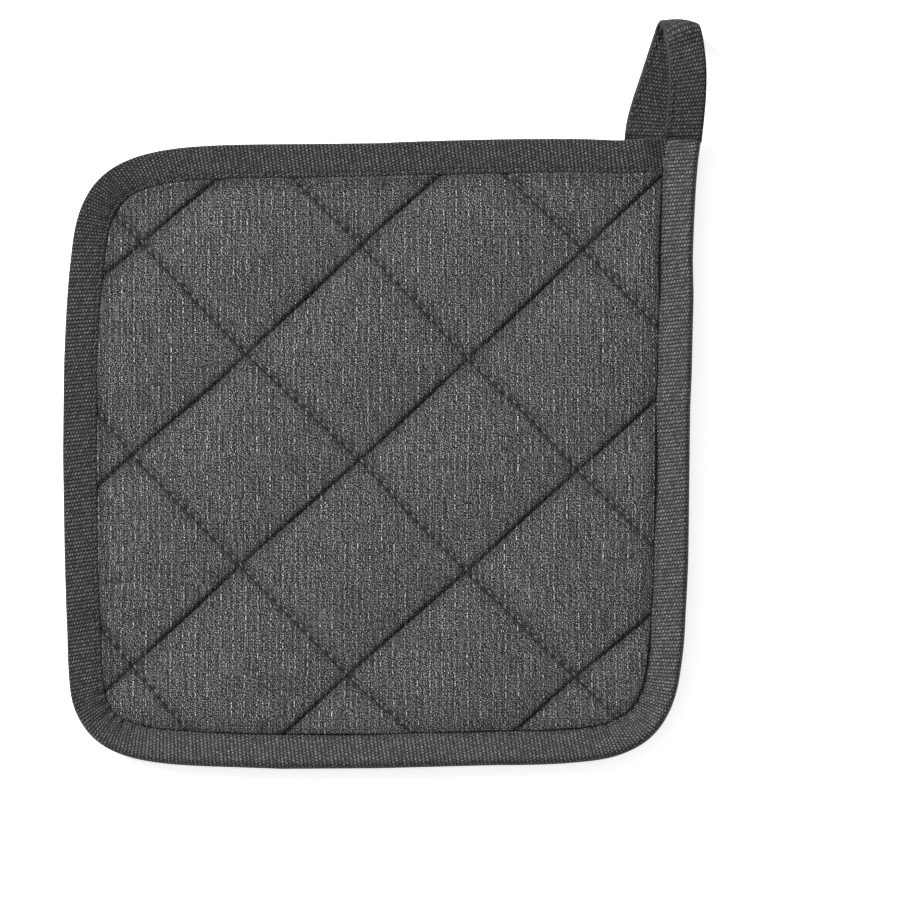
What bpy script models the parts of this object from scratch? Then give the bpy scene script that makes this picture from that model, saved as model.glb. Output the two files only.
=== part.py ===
"""Quilted pot holder with a taped edge and a hanging loop, lying on its back.

X runs to the right across the holder's face, Y runs up it towards the loop, and Z is up
from the surface that the holder lies on. The origin is on that surface, under the middle
of the whole holder. The shapes are worked out in millimetres from the middle of the
quilted square, and become metres as their meshes are made.
"""

from collections import namedtuple

import bmesh
import bpy
import numpy as np
from mathutils import geometry

MM = 0.001
OBJECT_NAME = "pot_holder"

# The square's middle, from the middle of the whole holder with its loop
SQUARE_MIDDLE = (-2.2, -19.4, 0.0)

# Outline of the square. Three corners are quarters of a superellipse: the larger the
# squareness, the tighter the corner. The fourth is square, and the loop leaves from it.
Corner = namedtuple("Corner", "half_width half_height squareness")
TOP_LEFT = Corner(99.7, 98.4, 5.9)
BOTTOM_LEFT = Corner(99.7, 99.1, 7.3)
BOTTOM_RIGHT = Corner(99.0, 99.1, 5.9)
LOOP_CORNER_X = 101.7
LOOP_CORNER_Y = 99.6
TOP_EDGE_BOW = 0.8
FLARE_POWER = 3.0

# Quilting: each sewn line by its angle and by how far it passes from the square's middle
Seam = namedtuple("Seam", "angle_deg offset")
RISING_SEAMS = (
    Seam(39.1, 100.1),
    Seam(41.9, 52.4),
    Seam(42.6, 3.6),
    Seam(41.9, -45.5),
    Seam(41.2, -94.3),
)
FALLING_SEAMS = (
    Seam(-49.6, -102.7),
    Seam(-45.6, -55.2),
    Seam(-44.9, -5.9),
    Seam(-45.7, 42.3),
    Seam(-45.0, 91.5),
)

# Heights of the filled pad. A sewn line draws in a share of the loft beside it, and so
# does the tape's edge. The share fades over the reach.
CROWN_TOP = 7.9
SEAM_TOP = 4.6
SEAM_BACK = 3.2
SEAM_DRAW = 0.68
SEAM_REACH = 13.0
EDGE_DRAW = 0.35
EDGE_REACH = 4.0
# Above 1, the back's crowns are pressed flat where they rest
BACK_PRESS = 1.5

# Binding tape: its outer section, from the back's stitching round the fold to the face's
TapeRow = namedtuple("TapeRow", "inset height")
TAPE_SECTION = (
    TapeRow(10.8, 3.0),
    TapeRow(8.0, 2.6),
    TapeRow(4.2, 2.2),
    TapeRow(1.2, 2.2),
    TapeRow(0.0, 4.7),
    TapeRow(0.8, 8.0),
    TapeRow(4.2, 7.5),
    TapeRow(8.0, 6.5),
    TapeRow(10.8, 5.6),
)
TAPE_FOLD = 4
TAPE_WIDTH = TAPE_SECTION[0].inset
TAPE_THICKNESS = 0.7
TAPE_START_X = 89.6

# The pad's raw edge inside the folded tape
PAD_INSET = 2.3
PAD_CLEARANCE = 0.35
# Points this little past the tape's edge still lie at the height that they have under it
TAPE_CLEAR = 0.05
PAD_RINGS = (PAD_INSET, 5.6, TAPE_WIDTH, TAPE_WIDTH + 1.6)

# Hanging loop: the middle of the strip at each section, its width's swing from X, and how
# far it rolls to the left
LoopRow = namedtuple("LoopRow", "name x y z swing_deg roll_deg")
LOOP_SECTIONS = (
    LoopRow("start at the corner", 96.8, 100.5, 4.8, 0.0, 0.0),
    LoopRow("rising", 97.4, 107.0, 6.3, 0.0, 3.0),
    LoopRow("half way", 97.9, 114.0, 8.2, 1.0, 3.0),
    LoopRow("crest", 98.1, 121.5, 9.3, 3.0, 3.0),
    LoopRow("before the turn", 97.5, 128.5, 9.6, 6.0, 3.0),
    LoopRow("turning", 96.7, 133.2, 9.1, 6.0, 2.0),
    LoopRow("turning over", 95.9, 135.9, 7.6, 3.0, 0.0),
    LoopRow("far end", 95.2, 136.6, 5.3, -4.0, 0.0),
    LoopRow("turning under", 94.5, 135.6, 3.0, -11.0, 3.0),
    LoopRow("after the turn", 93.0, 130.9, 2.0, -16.5, 8.0),
    LoopRow("back leg", 88.6, 117.3, 2.0, -16.5, 10.0),
    LoopRow("lower back leg", 86.4, 110.5, 1.8, -15.5, 7.0),
    LoopRow("near the edge", 85.0, 104.2, 1.2, -12.5, 2.0),
    LoopRow("behind the edge", 84.0, 99.0, 1.0, -10.0, 0.0),
    LoopRow("tail end", 82.9, 92.4, 1.0, -10.0, 0.0),
)
LOOP_WIDTH = 12.0
LOOP_THICKNESS = 1.6
LOOP_EDGE_ROUND = 0.45

# How finely the surfaces are cut
OUTLINE_SAMPLES = 121
OUTLINE_STEP = 8.5
OUTLINE_TURN_DEG = 11.0
SEAM_STEP = 5.0
SEAM_HALF_LENGTH = 150.0
CHANNEL_HALF = 2.3
LIP_POINTS = 4
FILL_STEP = 7.0
FILL_ROW_STEP = 7.3
FILL_REACH = 105.0
# The least room round a point, as a share of its own spacing
CHANNEL_ROOM = 0.85
FILL_ROOM = 0.6
MERGE_DISTANCE = 1e-4
LOOP_STEPS_A_ROW = 2
LOOP_STEPS_ACROSS = 2
SMOOTH_UNDER_DEG = 40.0
BEVEL_OVER_DEG = 60.0


def clear_scene():
    for old in list(bpy.data.objects):
        bpy.data.objects.remove(old, do_unlink=True)


def new_collection(name):
    made = bpy.data.collections.new(name)
    bpy.context.scene.collection.children.link(made)
    return made


def cotton(name, grey, roughness):
    """Plain dark cotton. grey is its display value, from 0 to 1, turned linear here."""
    linear = ((grey + 0.055) / 1.055) ** 2.4
    material = bpy.data.materials.new(name)
    material.use_nodes = True
    shader = material.node_tree.nodes["Principled BSDF"]
    shader.inputs["Base Color"].default_value = (linear, linear, linear, 1.0)
    shader.inputs["Roughness"].default_value = roughness
    shader.inputs["Metallic"].default_value = 0.0
    return material


def square_middle(collection):
    """An empty at the square's middle, which every piece is placed from."""
    middle = bpy.data.objects.new("square_middle", None)
    middle.location = [value * MM for value in SQUARE_MIDDLE]
    collection.objects.link(middle)
    return middle


def finished_object(name, shape, material, middle):
    """A smooth-shaded object that holds the bmesh and hangs from the empty."""
    mesh = bpy.data.meshes.new(name)
    shape.to_mesh(mesh)
    shape.free()
    mesh.materials.append(material)
    mesh.shade_smooth()
    mesh.set_sharp_from_angle(angle=np.radians(SMOOTH_UNDER_DEG))
    made = bpy.data.objects.new(name, mesh)
    made.parent = middle
    middle.users_collection[0].objects.link(made)
    return made


# ---- Outline of the square ----


def corner_quarter(corner, from_deg):
    """A quarter of the superellipse |x/a|^n + |y/b|^n = 1, anticlockwise from from_deg."""
    angle = np.radians(from_deg + np.linspace(0.0, 90.0, OUTLINE_SAMPLES))
    power = 2.0 / corner.squareness
    x = np.sign(np.cos(angle)) * np.abs(np.cos(angle)) ** power * corner.half_width
    y = np.sign(np.sin(angle)) * np.abs(np.sin(angle)) ** power * corner.half_height
    return np.column_stack([x, y])


def top_edge_from_corner():
    """The top edge from the square corner to the middle, bowed up a little."""
    along = np.linspace(1.0, 0.0, OUTLINE_SAMPLES)
    rise = (LOOP_CORNER_Y - TOP_LEFT.half_height) * along
    bow = 4.0 * TOP_EDGE_BOW * along * (1.0 - along)
    return np.column_stack([LOOP_CORNER_X * along, TOP_LEFT.half_height + rise + bow])


def right_edge_x(y):
    """The right edge above the middle, flaring out towards the square corner."""
    flare = LOOP_CORNER_X - BOTTOM_RIGHT.half_width
    return BOTTOM_RIGHT.half_width + flare * (y / LOOP_CORNER_Y) ** FLARE_POWER


def right_edge_to_corner():
    y = np.linspace(0.0, LOOP_CORNER_Y, OUTLINE_SAMPLES)
    return np.column_stack([right_edge_x(y), y])


def fine_outline():
    """The whole outline, anticlockwise from the square corner and back to it."""
    stretches = [
        top_edge_from_corner(),
        corner_quarter(TOP_LEFT, 90.0),
        corner_quarter(BOTTOM_LEFT, 180.0),
        corner_quarter(BOTTOM_RIGHT, 270.0),
        right_edge_to_corner(),
    ]
    return np.concatenate([stretches[0]] + [one[1:] for one in stretches[1:]])


def resampled(line):
    """The line with a point every OUTLINE_STEP, and closer where it turns."""
    leg = np.diff(line, axis=0)
    length = np.linalg.norm(leg, axis=1)
    heading = np.unwrap(np.arctan2(leg[:, 1], leg[:, 0]))
    turn = np.abs(np.gradient(heading))
    cost = length / OUTLINE_STEP + turn / np.radians(OUTLINE_TURN_DEG)
    total = np.concatenate([[0.0], np.cumsum(cost)])
    even = np.linspace(0.0, total[-1], int(round(total[-1])) + 1)
    return np.column_stack([np.interp(even, total, line[:, axis]) for axis in (0, 1)])


def inward_directions(line):
    """At each point of an anticlockwise line, the way to its left, stretched at bends so
    that a line moved by it stays parallel."""
    leg = np.diff(line, axis=0)
    leg /= np.linalg.norm(leg, axis=1)[:, None]
    left = np.column_stack([-leg[:, 1], leg[:, 0]])
    before = np.vstack([left[:1], left])
    after = np.vstack([left, left[-1:]])
    return (before + after) / (1.0 + (before * after).sum(axis=1))[:, None]


def outline_ring(outline, inset):
    """The outline moved in by inset, closed from its last point to its first."""
    joined = np.vstack([outline[-2], outline, outline[1]])
    return (joined + inward_directions(joined) * inset)[1:-2]


def distance_to_line(points, line):
    """From each point to the nearest place on an open line of short legs."""
    leg = np.diff(line, axis=0)
    offset = points[:, None, :] - line[None, :-1, :]
    share = (offset * leg).sum(axis=2) / (leg**2).sum(axis=1)
    nearest = offset - np.clip(share, 0.0, 1.0)[:, :, None] * leg
    return np.linalg.norm(nearest, axis=2).min(axis=1)


def edge_distances(points):
    """From each point to the right edge above its middle, and to the rest of the outline."""
    line = fine_outline()
    split = len(line) - OUTLINE_SAMPLES
    return distance_to_line(points, line[split:]), distance_to_line(points, line[: split + 1])


# ---- Quilted pad ----


def seam_axes(seam):
    """The way along a seam, and the way across it to its left."""
    angle = np.radians(seam.angle_deg)
    along = np.array([np.cos(angle), np.sin(angle)])
    return along, np.array([-along[1], along[0]])


def seam_distance(points, seams):
    """From each point to the nearest of these seams."""
    gaps = [np.abs(points @ seam_axes(seam)[1] - seam.offset) for seam in seams]
    return np.min(gaps, axis=0)


def fullness(distance, draw, reach):
    """How full the filling is at a distance from where it is drawn in: 1 far from there."""
    return 1.0 - draw * np.exp(-distance / reach)


def tape_height(inset, rows):
    """Height of one side of the folded tape at an inset."""
    rows = sorted(rows)
    return np.interp(inset, [row.inset for row in rows], [row.height for row in rows])


def pad_heights(points):
    """Height of the pad's face and of its back. Inside the tape both follow the tape. Past
    its stitching they swell away from every sewn line, and the back's crowns are flat."""
    lid = TAPE_THICKNESS + PAD_CLEARANCE
    rising = fullness(seam_distance(points, RISING_SEAMS), SEAM_DRAW, SEAM_REACH)
    falling = fullness(seam_distance(points, FALLING_SEAMS), SEAM_DRAW, SEAM_REACH)
    faces = []
    backs = []
    for inset in edge_distances(points):
        covered = inset < TAPE_WIDTH + TAPE_CLEAR
        past = np.maximum(inset - TAPE_WIDTH, 0.0)
        full = rising * falling * fullness(past, EDGE_DRAW, EDGE_REACH)
        face = SEAM_TOP + (CROWN_TOP - SEAM_TOP) * full
        back = SEAM_BACK * (1.0 - np.minimum(full * BACK_PRESS, 1.0))
        face_in_tape = tape_height(inset, TAPE_SECTION[TAPE_FOLD:]) - lid
        back_in_tape = tape_height(inset, TAPE_SECTION[: TAPE_FOLD + 1]) + lid
        faces.append(np.where(covered, face_in_tape, face))
        backs.append(np.where(covered, back_in_tape, back))
    return np.min(faces, axis=0), np.max(backs, axis=0)


def clear_of_tape(points):
    """Which points lie inside the innermost ring of the tape, with a little room."""
    outline = fine_outline()
    within = (points > outline.min(axis=0)) & (points < outline.max(axis=0))
    return within.all(axis=1) & (np.min(edge_distances(points), axis=0) > PAD_RINGS[-1] + 1.0)


def seam_line(seam, aside):
    """Points along a seam, moved aside by a distance, as far as the tape."""
    along, across = seam_axes(seam)
    steps = np.arange(-SEAM_HALF_LENGTH, SEAM_HALF_LENGTH, SEAM_STEP)
    points = across * (seam.offset + aside) + steps[:, None] * along
    return points[clear_of_tape(points)]


def lip_line(inset):
    """Points that carry a ring's right side on, under the right-hand tape, to the top."""
    y = np.linspace(LOOP_CORNER_Y - inset + 1.0, LOOP_CORNER_Y, LIP_POINTS)
    return np.column_stack([right_edge_x(y) - inset, y])


def fill_points():
    """Evenly spaced points in rows, each row moved half a step from the last."""
    x, y = np.meshgrid(
        np.arange(-FILL_REACH, FILL_REACH, FILL_STEP),
        np.arange(-FILL_REACH, FILL_REACH, FILL_ROW_STEP),
    )
    x[::2] += FILL_STEP / 2.0
    points = np.column_stack([x.ravel(), y.ravel()])
    return points[clear_of_tape(points)]


def spread_out(fixed, groups):
    """The fixed points, and after them each group's points that have room round them."""
    kept = np.array(fixed)
    for points, room in groups:
        for point in points:
            if np.linalg.norm(kept - point, axis=1).min() > room:
                kept = np.vstack([kept, point])
    return kept


def line_edges(first, count):
    return [(first + i, first + i + 1) for i in range(count - 1)]


def pad_sheet():
    """The pad seen from above as triangles, with edges along the tape and the seams."""
    outline = resampled(fine_outline())
    seams = RISING_SEAMS + FALLING_SEAMS
    rings = [outline_ring(outline, inset) for inset in PAD_RINGS]
    lines = [lip_line(inset) for inset in PAD_RINGS[1:]]
    lines += [seam_line(seam, 0.0) for seam in seams]
    points = []
    edges = []
    for line in rings + lines:
        edges += line_edges(len(points), len(line))
        points += list(line)
    for i, ring in enumerate(rings):
        edges.append((i * len(ring) + len(ring) - 1, i * len(ring)))
    channels = [seam_line(seam, side * CHANNEL_HALF) for seam in seams for side in (-1, 1)]
    groups = (
        (np.concatenate(channels), CHANNEL_HALF * CHANNEL_ROOM),
        (fill_points(), FILL_STEP * FILL_ROOM),
    )
    places = [tuple(point) for point in spread_out(points, groups)]
    outer = list(range(len(rings[0])))
    inside_only = 1
    sheet = geometry.delaunay_2d_cdt(places, edges, [outer], inside_only, MERGE_DISTANCE)
    return sheet[0], sheet[2]


def quilted_pad(material, middle):
    """One filled body: a flat sheet of triangles, extruded, then raised to its heights."""
    places, triangles = pad_sheet()
    shape = bmesh.new()
    low = [shape.verts.new((x * MM, y * MM, 0.0)) for x, y in places]
    sheet = [shape.faces.new([low[i] for i in corners]) for corners in triangles]
    copied = bmesh.ops.extrude_face_region(shape, geom=sheet)["geom"]
    high = [item for item in copied if isinstance(item, bmesh.types.BMVert)]
    for side, verts in enumerate((high, low)):
        heights = pad_heights(np.array([vert.co[:2] for vert in verts]) / MM)[side]
        for vert, height in zip(verts, heights):
            vert.co.z = height * MM
    bmesh.ops.recalc_face_normals(shape, faces=shape.faces)
    return finished_object("quilted_pad", shape, material, middle)


# ---- Tape and loop ----


def mapped_sheet(rows):
    """An open sheet: a grid whose points are moved to the rows of points given."""
    shape = bmesh.new()
    along = len(rows) - 1
    across = len(rows[0]) - 1
    bmesh.ops.create_grid(shape, x_segments=along, y_segments=across, size=0.5)
    for vert in shape.verts:
        i = round((vert.co.x + 0.5) * along)
        j = round((vert.co.y + 0.5) * across)
        vert.co = rows[i][j] * MM
    return shape


def add_thickness(made, thickness, offset):
    solid = made.modifiers.new("Cloth thickness", "SOLIDIFY")
    solid.thickness = thickness * MM
    solid.offset = offset
    solid.use_even_offset = True


def tape_path():
    """The outline from where the tape starts, under its own other end, to the corner."""
    line = fine_outline()
    start = np.argmax(line[:, 0] < TAPE_START_X)
    y = np.interp(TAPE_START_X, line[start::-1, 0], line[start::-1, 1])
    return resampled(np.vstack([(TAPE_START_X, y), line[start:]]))


def edge_binding(material, middle):
    """The tape: its folded section carried round the outline, with both ends cut square."""
    path = tape_path()
    inward = inward_directions(path)
    inward[0] = (0.0, -1.0)
    inward[-1] = (-1.0, 0.0)
    insets = np.array([row.inset for row in TAPE_SECTION])
    heights = np.array([row.height for row in TAPE_SECTION])
    rows = []
    for point, way in zip(path, inward):
        rows.append(np.column_stack([point + insets[:, None] * way, heights]))
    made = finished_object("edge_binding", mapped_sheet(rows), material, middle)
    add_thickness(made, TAPE_THICKNESS, -1.0)
    return made


def smooth_through(values, steps):
    """A Catmull-Rom curve through the rows of values, with this many steps between two."""
    ends = np.vstack([2.0 * values[0] - values[1], values, 2.0 * values[-1] - values[-2]])
    t = np.linspace(0.0, 1.0, steps, endpoint=False)[:, None]
    curve = []
    for a, b, c, d in zip(ends, ends[1:], ends[2:], ends[3:]):
        bend = (2.0 * a - 5.0 * b + 4.0 * c - d) * t**2 + (3.0 * b - a - 3.0 * c + d) * t**3
        curve.append(b + 0.5 * ((c - a) * t + bend))
    return np.vstack(curve + [values[-1:]])


def hanging_loop(material, middle):
    """The strip: its middle follows the loop's sections, and its width is square to it."""
    table = np.array([row[1:] for row in LOOP_SECTIONS])
    curve = smooth_through(table, LOOP_STEPS_A_ROW)
    spine = curve[:, :3]
    heading = np.gradient(spine, axis=0)
    heading /= np.linalg.norm(heading, axis=1)[:, None]
    swing = np.radians(curve[:, 3])
    roll = np.radians(curve[:, 4])
    width = np.column_stack([np.cos(swing), np.sin(swing), -np.tan(roll)])
    width -= heading * (width * heading).sum(axis=1)[:, None]
    width /= np.linalg.norm(width, axis=1)[:, None]
    aside = np.linspace(-0.5, 0.5, LOOP_STEPS_ACROSS + 1) * LOOP_WIDTH
    rows = [point + aside[:, None] * way for point, way in zip(spine, width)]
    made = finished_object("hanging_loop", mapped_sheet(rows), material, middle)
    add_thickness(made, LOOP_THICKNESS, 0.0)
    rounded = made.modifiers.new("Soft edges", "BEVEL")
    rounded.width = LOOP_EDGE_ROUND * MM
    rounded.segments = 2
    rounded.limit_method = "ANGLE"
    rounded.angle_limit = np.radians(BEVEL_OVER_DEG)
    return made


def main():
    clear_scene()
    middle = square_middle(new_collection(OBJECT_NAME))
    panel_cotton = cotton("quilted_cotton", 0.33, 0.95)
    tape_cotton = cotton("cotton_tape", 0.31, 0.9)
    quilted_pad(panel_cotton, middle)
    edge_binding(tape_cotton, middle)
    hanging_loop(tape_cotton, middle)


main()
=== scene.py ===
"""Looks of a quilted cotton pot holder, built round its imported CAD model.

X runs to the right across the holder's face, Y runs up it towards the loop, and Z is up from
the table that it lies on. Shapes are worked out in millimetres from the middle of the quilted
square. They are moved to their place and turned into metres as their meshes are made.
"""

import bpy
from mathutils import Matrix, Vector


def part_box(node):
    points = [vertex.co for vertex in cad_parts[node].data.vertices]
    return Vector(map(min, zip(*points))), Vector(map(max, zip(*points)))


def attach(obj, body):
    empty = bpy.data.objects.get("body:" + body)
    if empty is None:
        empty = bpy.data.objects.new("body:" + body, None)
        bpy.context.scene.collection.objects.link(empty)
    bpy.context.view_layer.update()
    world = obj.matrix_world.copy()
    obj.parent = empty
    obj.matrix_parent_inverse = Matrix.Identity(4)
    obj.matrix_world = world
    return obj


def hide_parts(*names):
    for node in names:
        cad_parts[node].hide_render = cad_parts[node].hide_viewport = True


bl_info = {
    "name": "Quilted pot holder",
    "version": (1, 0, 0),
    "blender": (4, 5, 0),
    "location": "3D View > Sidebar > Pot holder",
    "description": "Quilted pad, edge tape, hanging loop, sewing and a plain studio",
    "category": "Add Mesh",
}

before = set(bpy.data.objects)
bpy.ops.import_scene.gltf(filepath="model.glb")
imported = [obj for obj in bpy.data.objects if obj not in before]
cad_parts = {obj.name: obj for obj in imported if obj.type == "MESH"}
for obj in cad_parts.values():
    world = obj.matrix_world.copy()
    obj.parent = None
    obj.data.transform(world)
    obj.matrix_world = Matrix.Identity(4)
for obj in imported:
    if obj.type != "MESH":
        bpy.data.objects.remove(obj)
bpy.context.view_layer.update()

from collections import namedtuple

import bpy
import numpy as np
from mathutils import Vector

MM = 0.001

# ---- Sizes of the square, in millimetres from its middle ----

# Three corners are quarters of a superellipse: the larger the squareness, the tighter the
# corner. The fourth is square, and the loop leaves from it.
Corner = namedtuple("Corner", "half_width half_height squareness")
TOP_LEFT = Corner(99.7, 98.4, 5.9)
BOTTOM_LEFT = Corner(99.7, 99.1, 7.3)
BOTTOM_RIGHT = Corner(99.0, 99.1, 5.9)
LOOP_CORNER_X = 101.7
LOOP_CORNER_Y = 99.6
TOP_EDGE_BOW = 0.8
FLARE_POWER = 3.0

# How far the sewn edge strays outward from that outline, at distances along it from the
# square corner anticlockwise
EDGE_STRAYS = (
    (0.0, 0.3), (16.0, 0.1), (25.0, -0.6), (36.0, -0.1), (60.0, 0.1), (98.0, 0.15), (122.0, -0.15),
    (158.0, -0.3), (176.0, -0.35), (194.0, -0.28), (206.0, -0.5), (220.0, -1.0), (232.0, -0.7),
    (254.0, 0.08), (278.0, 0.4), (292.0, 0.4), (314.0, -0.1), (340.0, -0.75), (352.0, -0.4),
    (362.0, 0.3), (374.0, 0.0), (386.0, -0.1), (410.0, 0.3), (422.0, 0.5), (440.0, 1.1),
    (458.0, 1.05), (482.0, 0.4), (504.0, -0.15), (530.0, 0.1), (542.0, 0.6), (554.0, 0.5),
    (566.0, -0.3), (580.0, -1.1), (598.0, -1.2), (614.0, -0.65), (638.0, -0.35), (662.0, -0.1),
    (674.0, 0.4), (698.0, 0.7), (710.0, 0.1), (734.0, 0.1), (743.0, 0.3), (748.0, 0.8),
)
STRAY_SPREAD = 10.0

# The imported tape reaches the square's left and lower sides, which gives the square's middle
TAPE_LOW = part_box("edge_binding")[0]
SQUARE_MIDDLE = np.array(
    [TAPE_LOW.x / MM + TOP_LEFT.half_width, TAPE_LOW.y / MM + BOTTOM_LEFT.half_height, 0.0]
)

# ---- Quilting ----

# Each sewn line: its angle, how far it passes from the square's middle, and how far the
# needle strayed to its left at each of SEAM_STATIONS along it
Seam = namedtuple("Seam", "angle_deg offset strayed")
SEAM_STATIONS = (-110.0, -75.0, -50.0, -25.0, 0.0, 25.0, 50.0, 75.0, 110.0)
RISING_SEAMS = (
    Seam(39.1, 99.2, (-0.7, -0.7, -0.7, -0.7, 0.2, 0.2, 0.2, 0.2, 0.2)),
    Seam(41.9, 51.5, (0.0, 0.0, -0.1, -0.8, -0.1, 0.4, 1.2, 0.9, 0.9)),
    Seam(42.6, 2.7, (0.1, 0.3, 0.6, -0.1, -0.6, -0.3, -0.1, 0.3, 1.1)),
    Seam(41.9, -46.4, (0.0, 0.0, 0.4, 0.1, -0.5, 0.1, -0.2, 0.1, 0.1)),
    Seam(41.2, -95.2, (0.2, 0.2, 0.2, 0.2, 0.5, -0.3, -0.3, -0.3, -0.3)),
)
FALLING_SEAMS = (
    Seam(-49.6, -102.7, (0.0,) * len(SEAM_STATIONS)),
    Seam(-45.6, -55.2, (1.6, 1.4, -0.6, -0.6, -0.7, -0.6, -0.6, 2.0, 2.0)),
    Seam(-44.9, -5.9, (1.0, -0.4, -0.9, 0.0, 0.6, -0.3, -0.4, -0.2, 0.5)),
    Seam(-45.7, 42.3, (-0.5, -0.2, 0.5, 0.0, -0.7, 0.3, -0.4, 0.2, 0.3)),
    Seam(-45.0, 91.5, (-0.5, -0.5, -0.4, 0.1, 0.8, 0.1, -0.4, -0.4, -0.4)),
)
# Height of the sewn lines on the face and on the back, and how many times fuller the back is
# than it has to be to reach the table, which leaves its crowns flat
SEAM_TOP = 4.6
SEAM_BACK = 3.2
BACK_PRESS = 1.4

# How a sewn line draws the padding in: a broad swell with a long reach, and a narrow furrow under
# the thread, whose lips are scalloped by the stitches. Beside it the cloth is painted darker,
# partly for the crushed cloth and partly as painted shade of the furrow, by a share that fades over
# its own width. A narrow crease on the thread's right carries painted shadow, darkest at the needle
# holes.
Draw = namedtuple("Draw", "swell reach furrow width scallop crushed crush_width crease")
RISING_DRAW = Draw(0.56, 13.0, 0.24, 0.6, 0.3, 0.52, 1.9, 0.1)
FALLING_DRAW = Draw(0.6, 13.0, 0.08, 0.7, 0.3, 0.4, 1.7, 0.55)
# Beside the tape's edge the cloth is painted darker too, as painted shade
EDGE_DRAW = Draw(0.16, 4.0, 0.0, 1.0, 0.0, 0.34, 3.2, 0.0)
CREASE_ASIDE = 0.55
CREASE_WIDTH = 0.55
CREASE_WAVE = 0.35

# Small creases in the cloth: place, way, length, width and depth of each
Crease = namedtuple("Crease", "x y angle_deg length width depth")
CREASES = (
    Crease(-72.0, 50.1, -4.0, 9.0, 1.1, 0.32),
    Crease(-83.8, 37.4, 6.0, 6.0, 1.0, 0.28),
    Crease(-81.9, -41.2, 3.0, 7.0, 1.1, 0.28),
    Crease(-74.6, -52.0, 24.0, 8.0, 1.2, 0.35),
    Crease(-81.3, -62.2, -8.0, 5.0, 1.0, 0.28),
    Crease(26.6, -4.6, 8.0, 7.0, 2.2, 0.22),
    Crease(-7.2, 45.6, -20.0, 6.0, 1.6, 0.25),
)

# ---- Tape and loop ----

# The tape's outer section: its upper side falls inward from the rim and its lower side
# climbs from the foot. Each dips under the stitching. The fold between them is rounded over
# a width that is least on the upper and left sides.
TAPE_WIDTH = 10.8
TAPE_THICKNESS = 0.7
TAPE_RIM = 8.6
TAPE_FALL = 0.26
TAPE_FOOT = 1.9
TAPE_CLIMB = 0.11
TAPE_ROLL = 0.25
TAPE_ROLL_WIDTH = 0.7
STITCH_INSET = 9.6
STITCH_DIP = 0.2
STITCH_DIP_WIDTH = 0.5
GROOVE_WIDTH = 0.7
HOLE_DENT = 0.06
LOWER_DENT = 0.08
TIGHT_FOLD = 0.4
RIGHT_FOLD = 1.4
LOWER_FOLD = 2.4
BACK_FOLD = 1.2

# The tape starts at the top right, under its own other end. The lower layer is squeezed
# towards the tape's middle height over its last stretch and its start is tucked in from the
# outline, and the upper one is spread.
TAPE_START_X = 93.6
START_TUCK = 0.8
START_TUCK_LENGTH = 3.6
# The stretch over which the tape's rows turn square to its cut end
SQUARE_STRETCH = 12.0
TAPE_MIDDLE = 4.6
LAP_SQUEEZE = 0.8
LAP_STRETCH = 10.0
LAP_RISE = 0.5
LAP_RISE_LOW = 86.0
LAP_RISE_HIGH = 90.0
TURNED_IN_BULGE = 0.15
# The tape's whole breadth round the fold. Each rib leans back from square across it.
TAPE_BREADTH = 27.6
RIB_LEAN_DEG = 7.0
# How much the tape turns for each millimetre where it counts as a corner, and over how many
# rows that is smoothed
CORNER_BEND = 0.04
BEND_SMOOTHING = 15
# Puckers in the tape's inner side at the corners: their pitch, height and inset. Painted shade
# takes colour from their valleys, from the inner edge where the pad throws its shadow, and from the
# tape's cut end over the lap. The tape is also made a little darker at the left corners and along
# the lower side.
PUCKER_PITCH = 5.2
PUCKER_HEIGHT = 0.22
PUCKER_FROM = 3.0
PUCKER_PAINTED_SHADE = 0.3
INNER_PAINTED_SHADOW = 0.16
INNER_FROM = 8.4
END_PAINTED_SHADE = 0.6
END_SHADE_LENGTH = 1.3
CORNER_DARKENING = 0.2
LOWER_DARKENING = 0.09

# The pad's raw edge inside the folded tape, and the insets between which the pad comes out
# from under the tape and from its clearance to it
PAD_INSET = 2.3
PAD_CLEARANCE = 0.05
COVERED_TO = TAPE_WIDTH - 0.5
CLEAR_TO = TAPE_WIDTH - 0.1
FREE_FROM = TAPE_WIDTH + 0.3

# The loop: the middle of the strip at each section, its width's swing from X, how far it
# rolls to the left, and how far the fold has opened, as a share of its width
LoopRow = namedtuple("LoopRow", "name x y z swing_deg roll_deg spread")
LOOP_SECTIONS = (
    LoopRow("start inside the tape", 96.6, 99.2, 4.7, 0.0, 0.0, 1.0),
    LoopRow("leaving the tape", 96.8, 101.5, 5.1, 0.0, 2.0, 1.0),
    LoopRow("rising", 97.4, 107.0, 6.3, 0.0, 3.0, 1.0),
    LoopRow("half way", 97.9, 114.0, 8.2, 1.0, 3.0, 1.0),
    LoopRow("crest", 97.95, 121.5, 9.3, 3.0, 3.0, 1.0),
    LoopRow("before the turn", 97.25, 128.5, 9.6, 6.0, 3.0, 1.0),
    LoopRow("turning", 96.5, 132.8, 9.1, 6.0, 2.0, 1.0),
    LoopRow("turning over", 96.1, 134.6, 7.6, 1.5, 0.0, 1.0),
    LoopRow("far end", 95.4, 135.1, 5.3, -5.5, 0.0, 1.0),
    LoopRow("turning under", 94.5, 134.5, 3.0, -11.5, 3.0, 1.0),
    LoopRow("after the turn", 93.0, 130.7, 2.0, -16.5, 8.0, 1.0),
    LoopRow("back leg", 88.85, 117.3, 2.0, -16.5, 10.0, 1.04),
    LoopRow("lower back leg", 86.8, 110.5, 1.8, -15.5, 7.0, 1.07),
    LoopRow("near the edge", 85.3, 104.2, 1.2, -12.5, 2.0, 1.1),
    LoopRow("behind the edge", 84.5, 99.0, 1.1, -10.0, 0.0, 1.08),
    LoopRow("tail end", 83.2, 92.4, 1.1, -10.0, 0.0, 1.0),
)
# How far the strip cups outward where it turns over, and the ridge along its open edge
LOOP_CUP = 1.9
LOOP_CUP_FROM = 128.0
LOOP_RIDGE = 0.1
LOOP_RIDGE_WIDTH = 0.5
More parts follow.
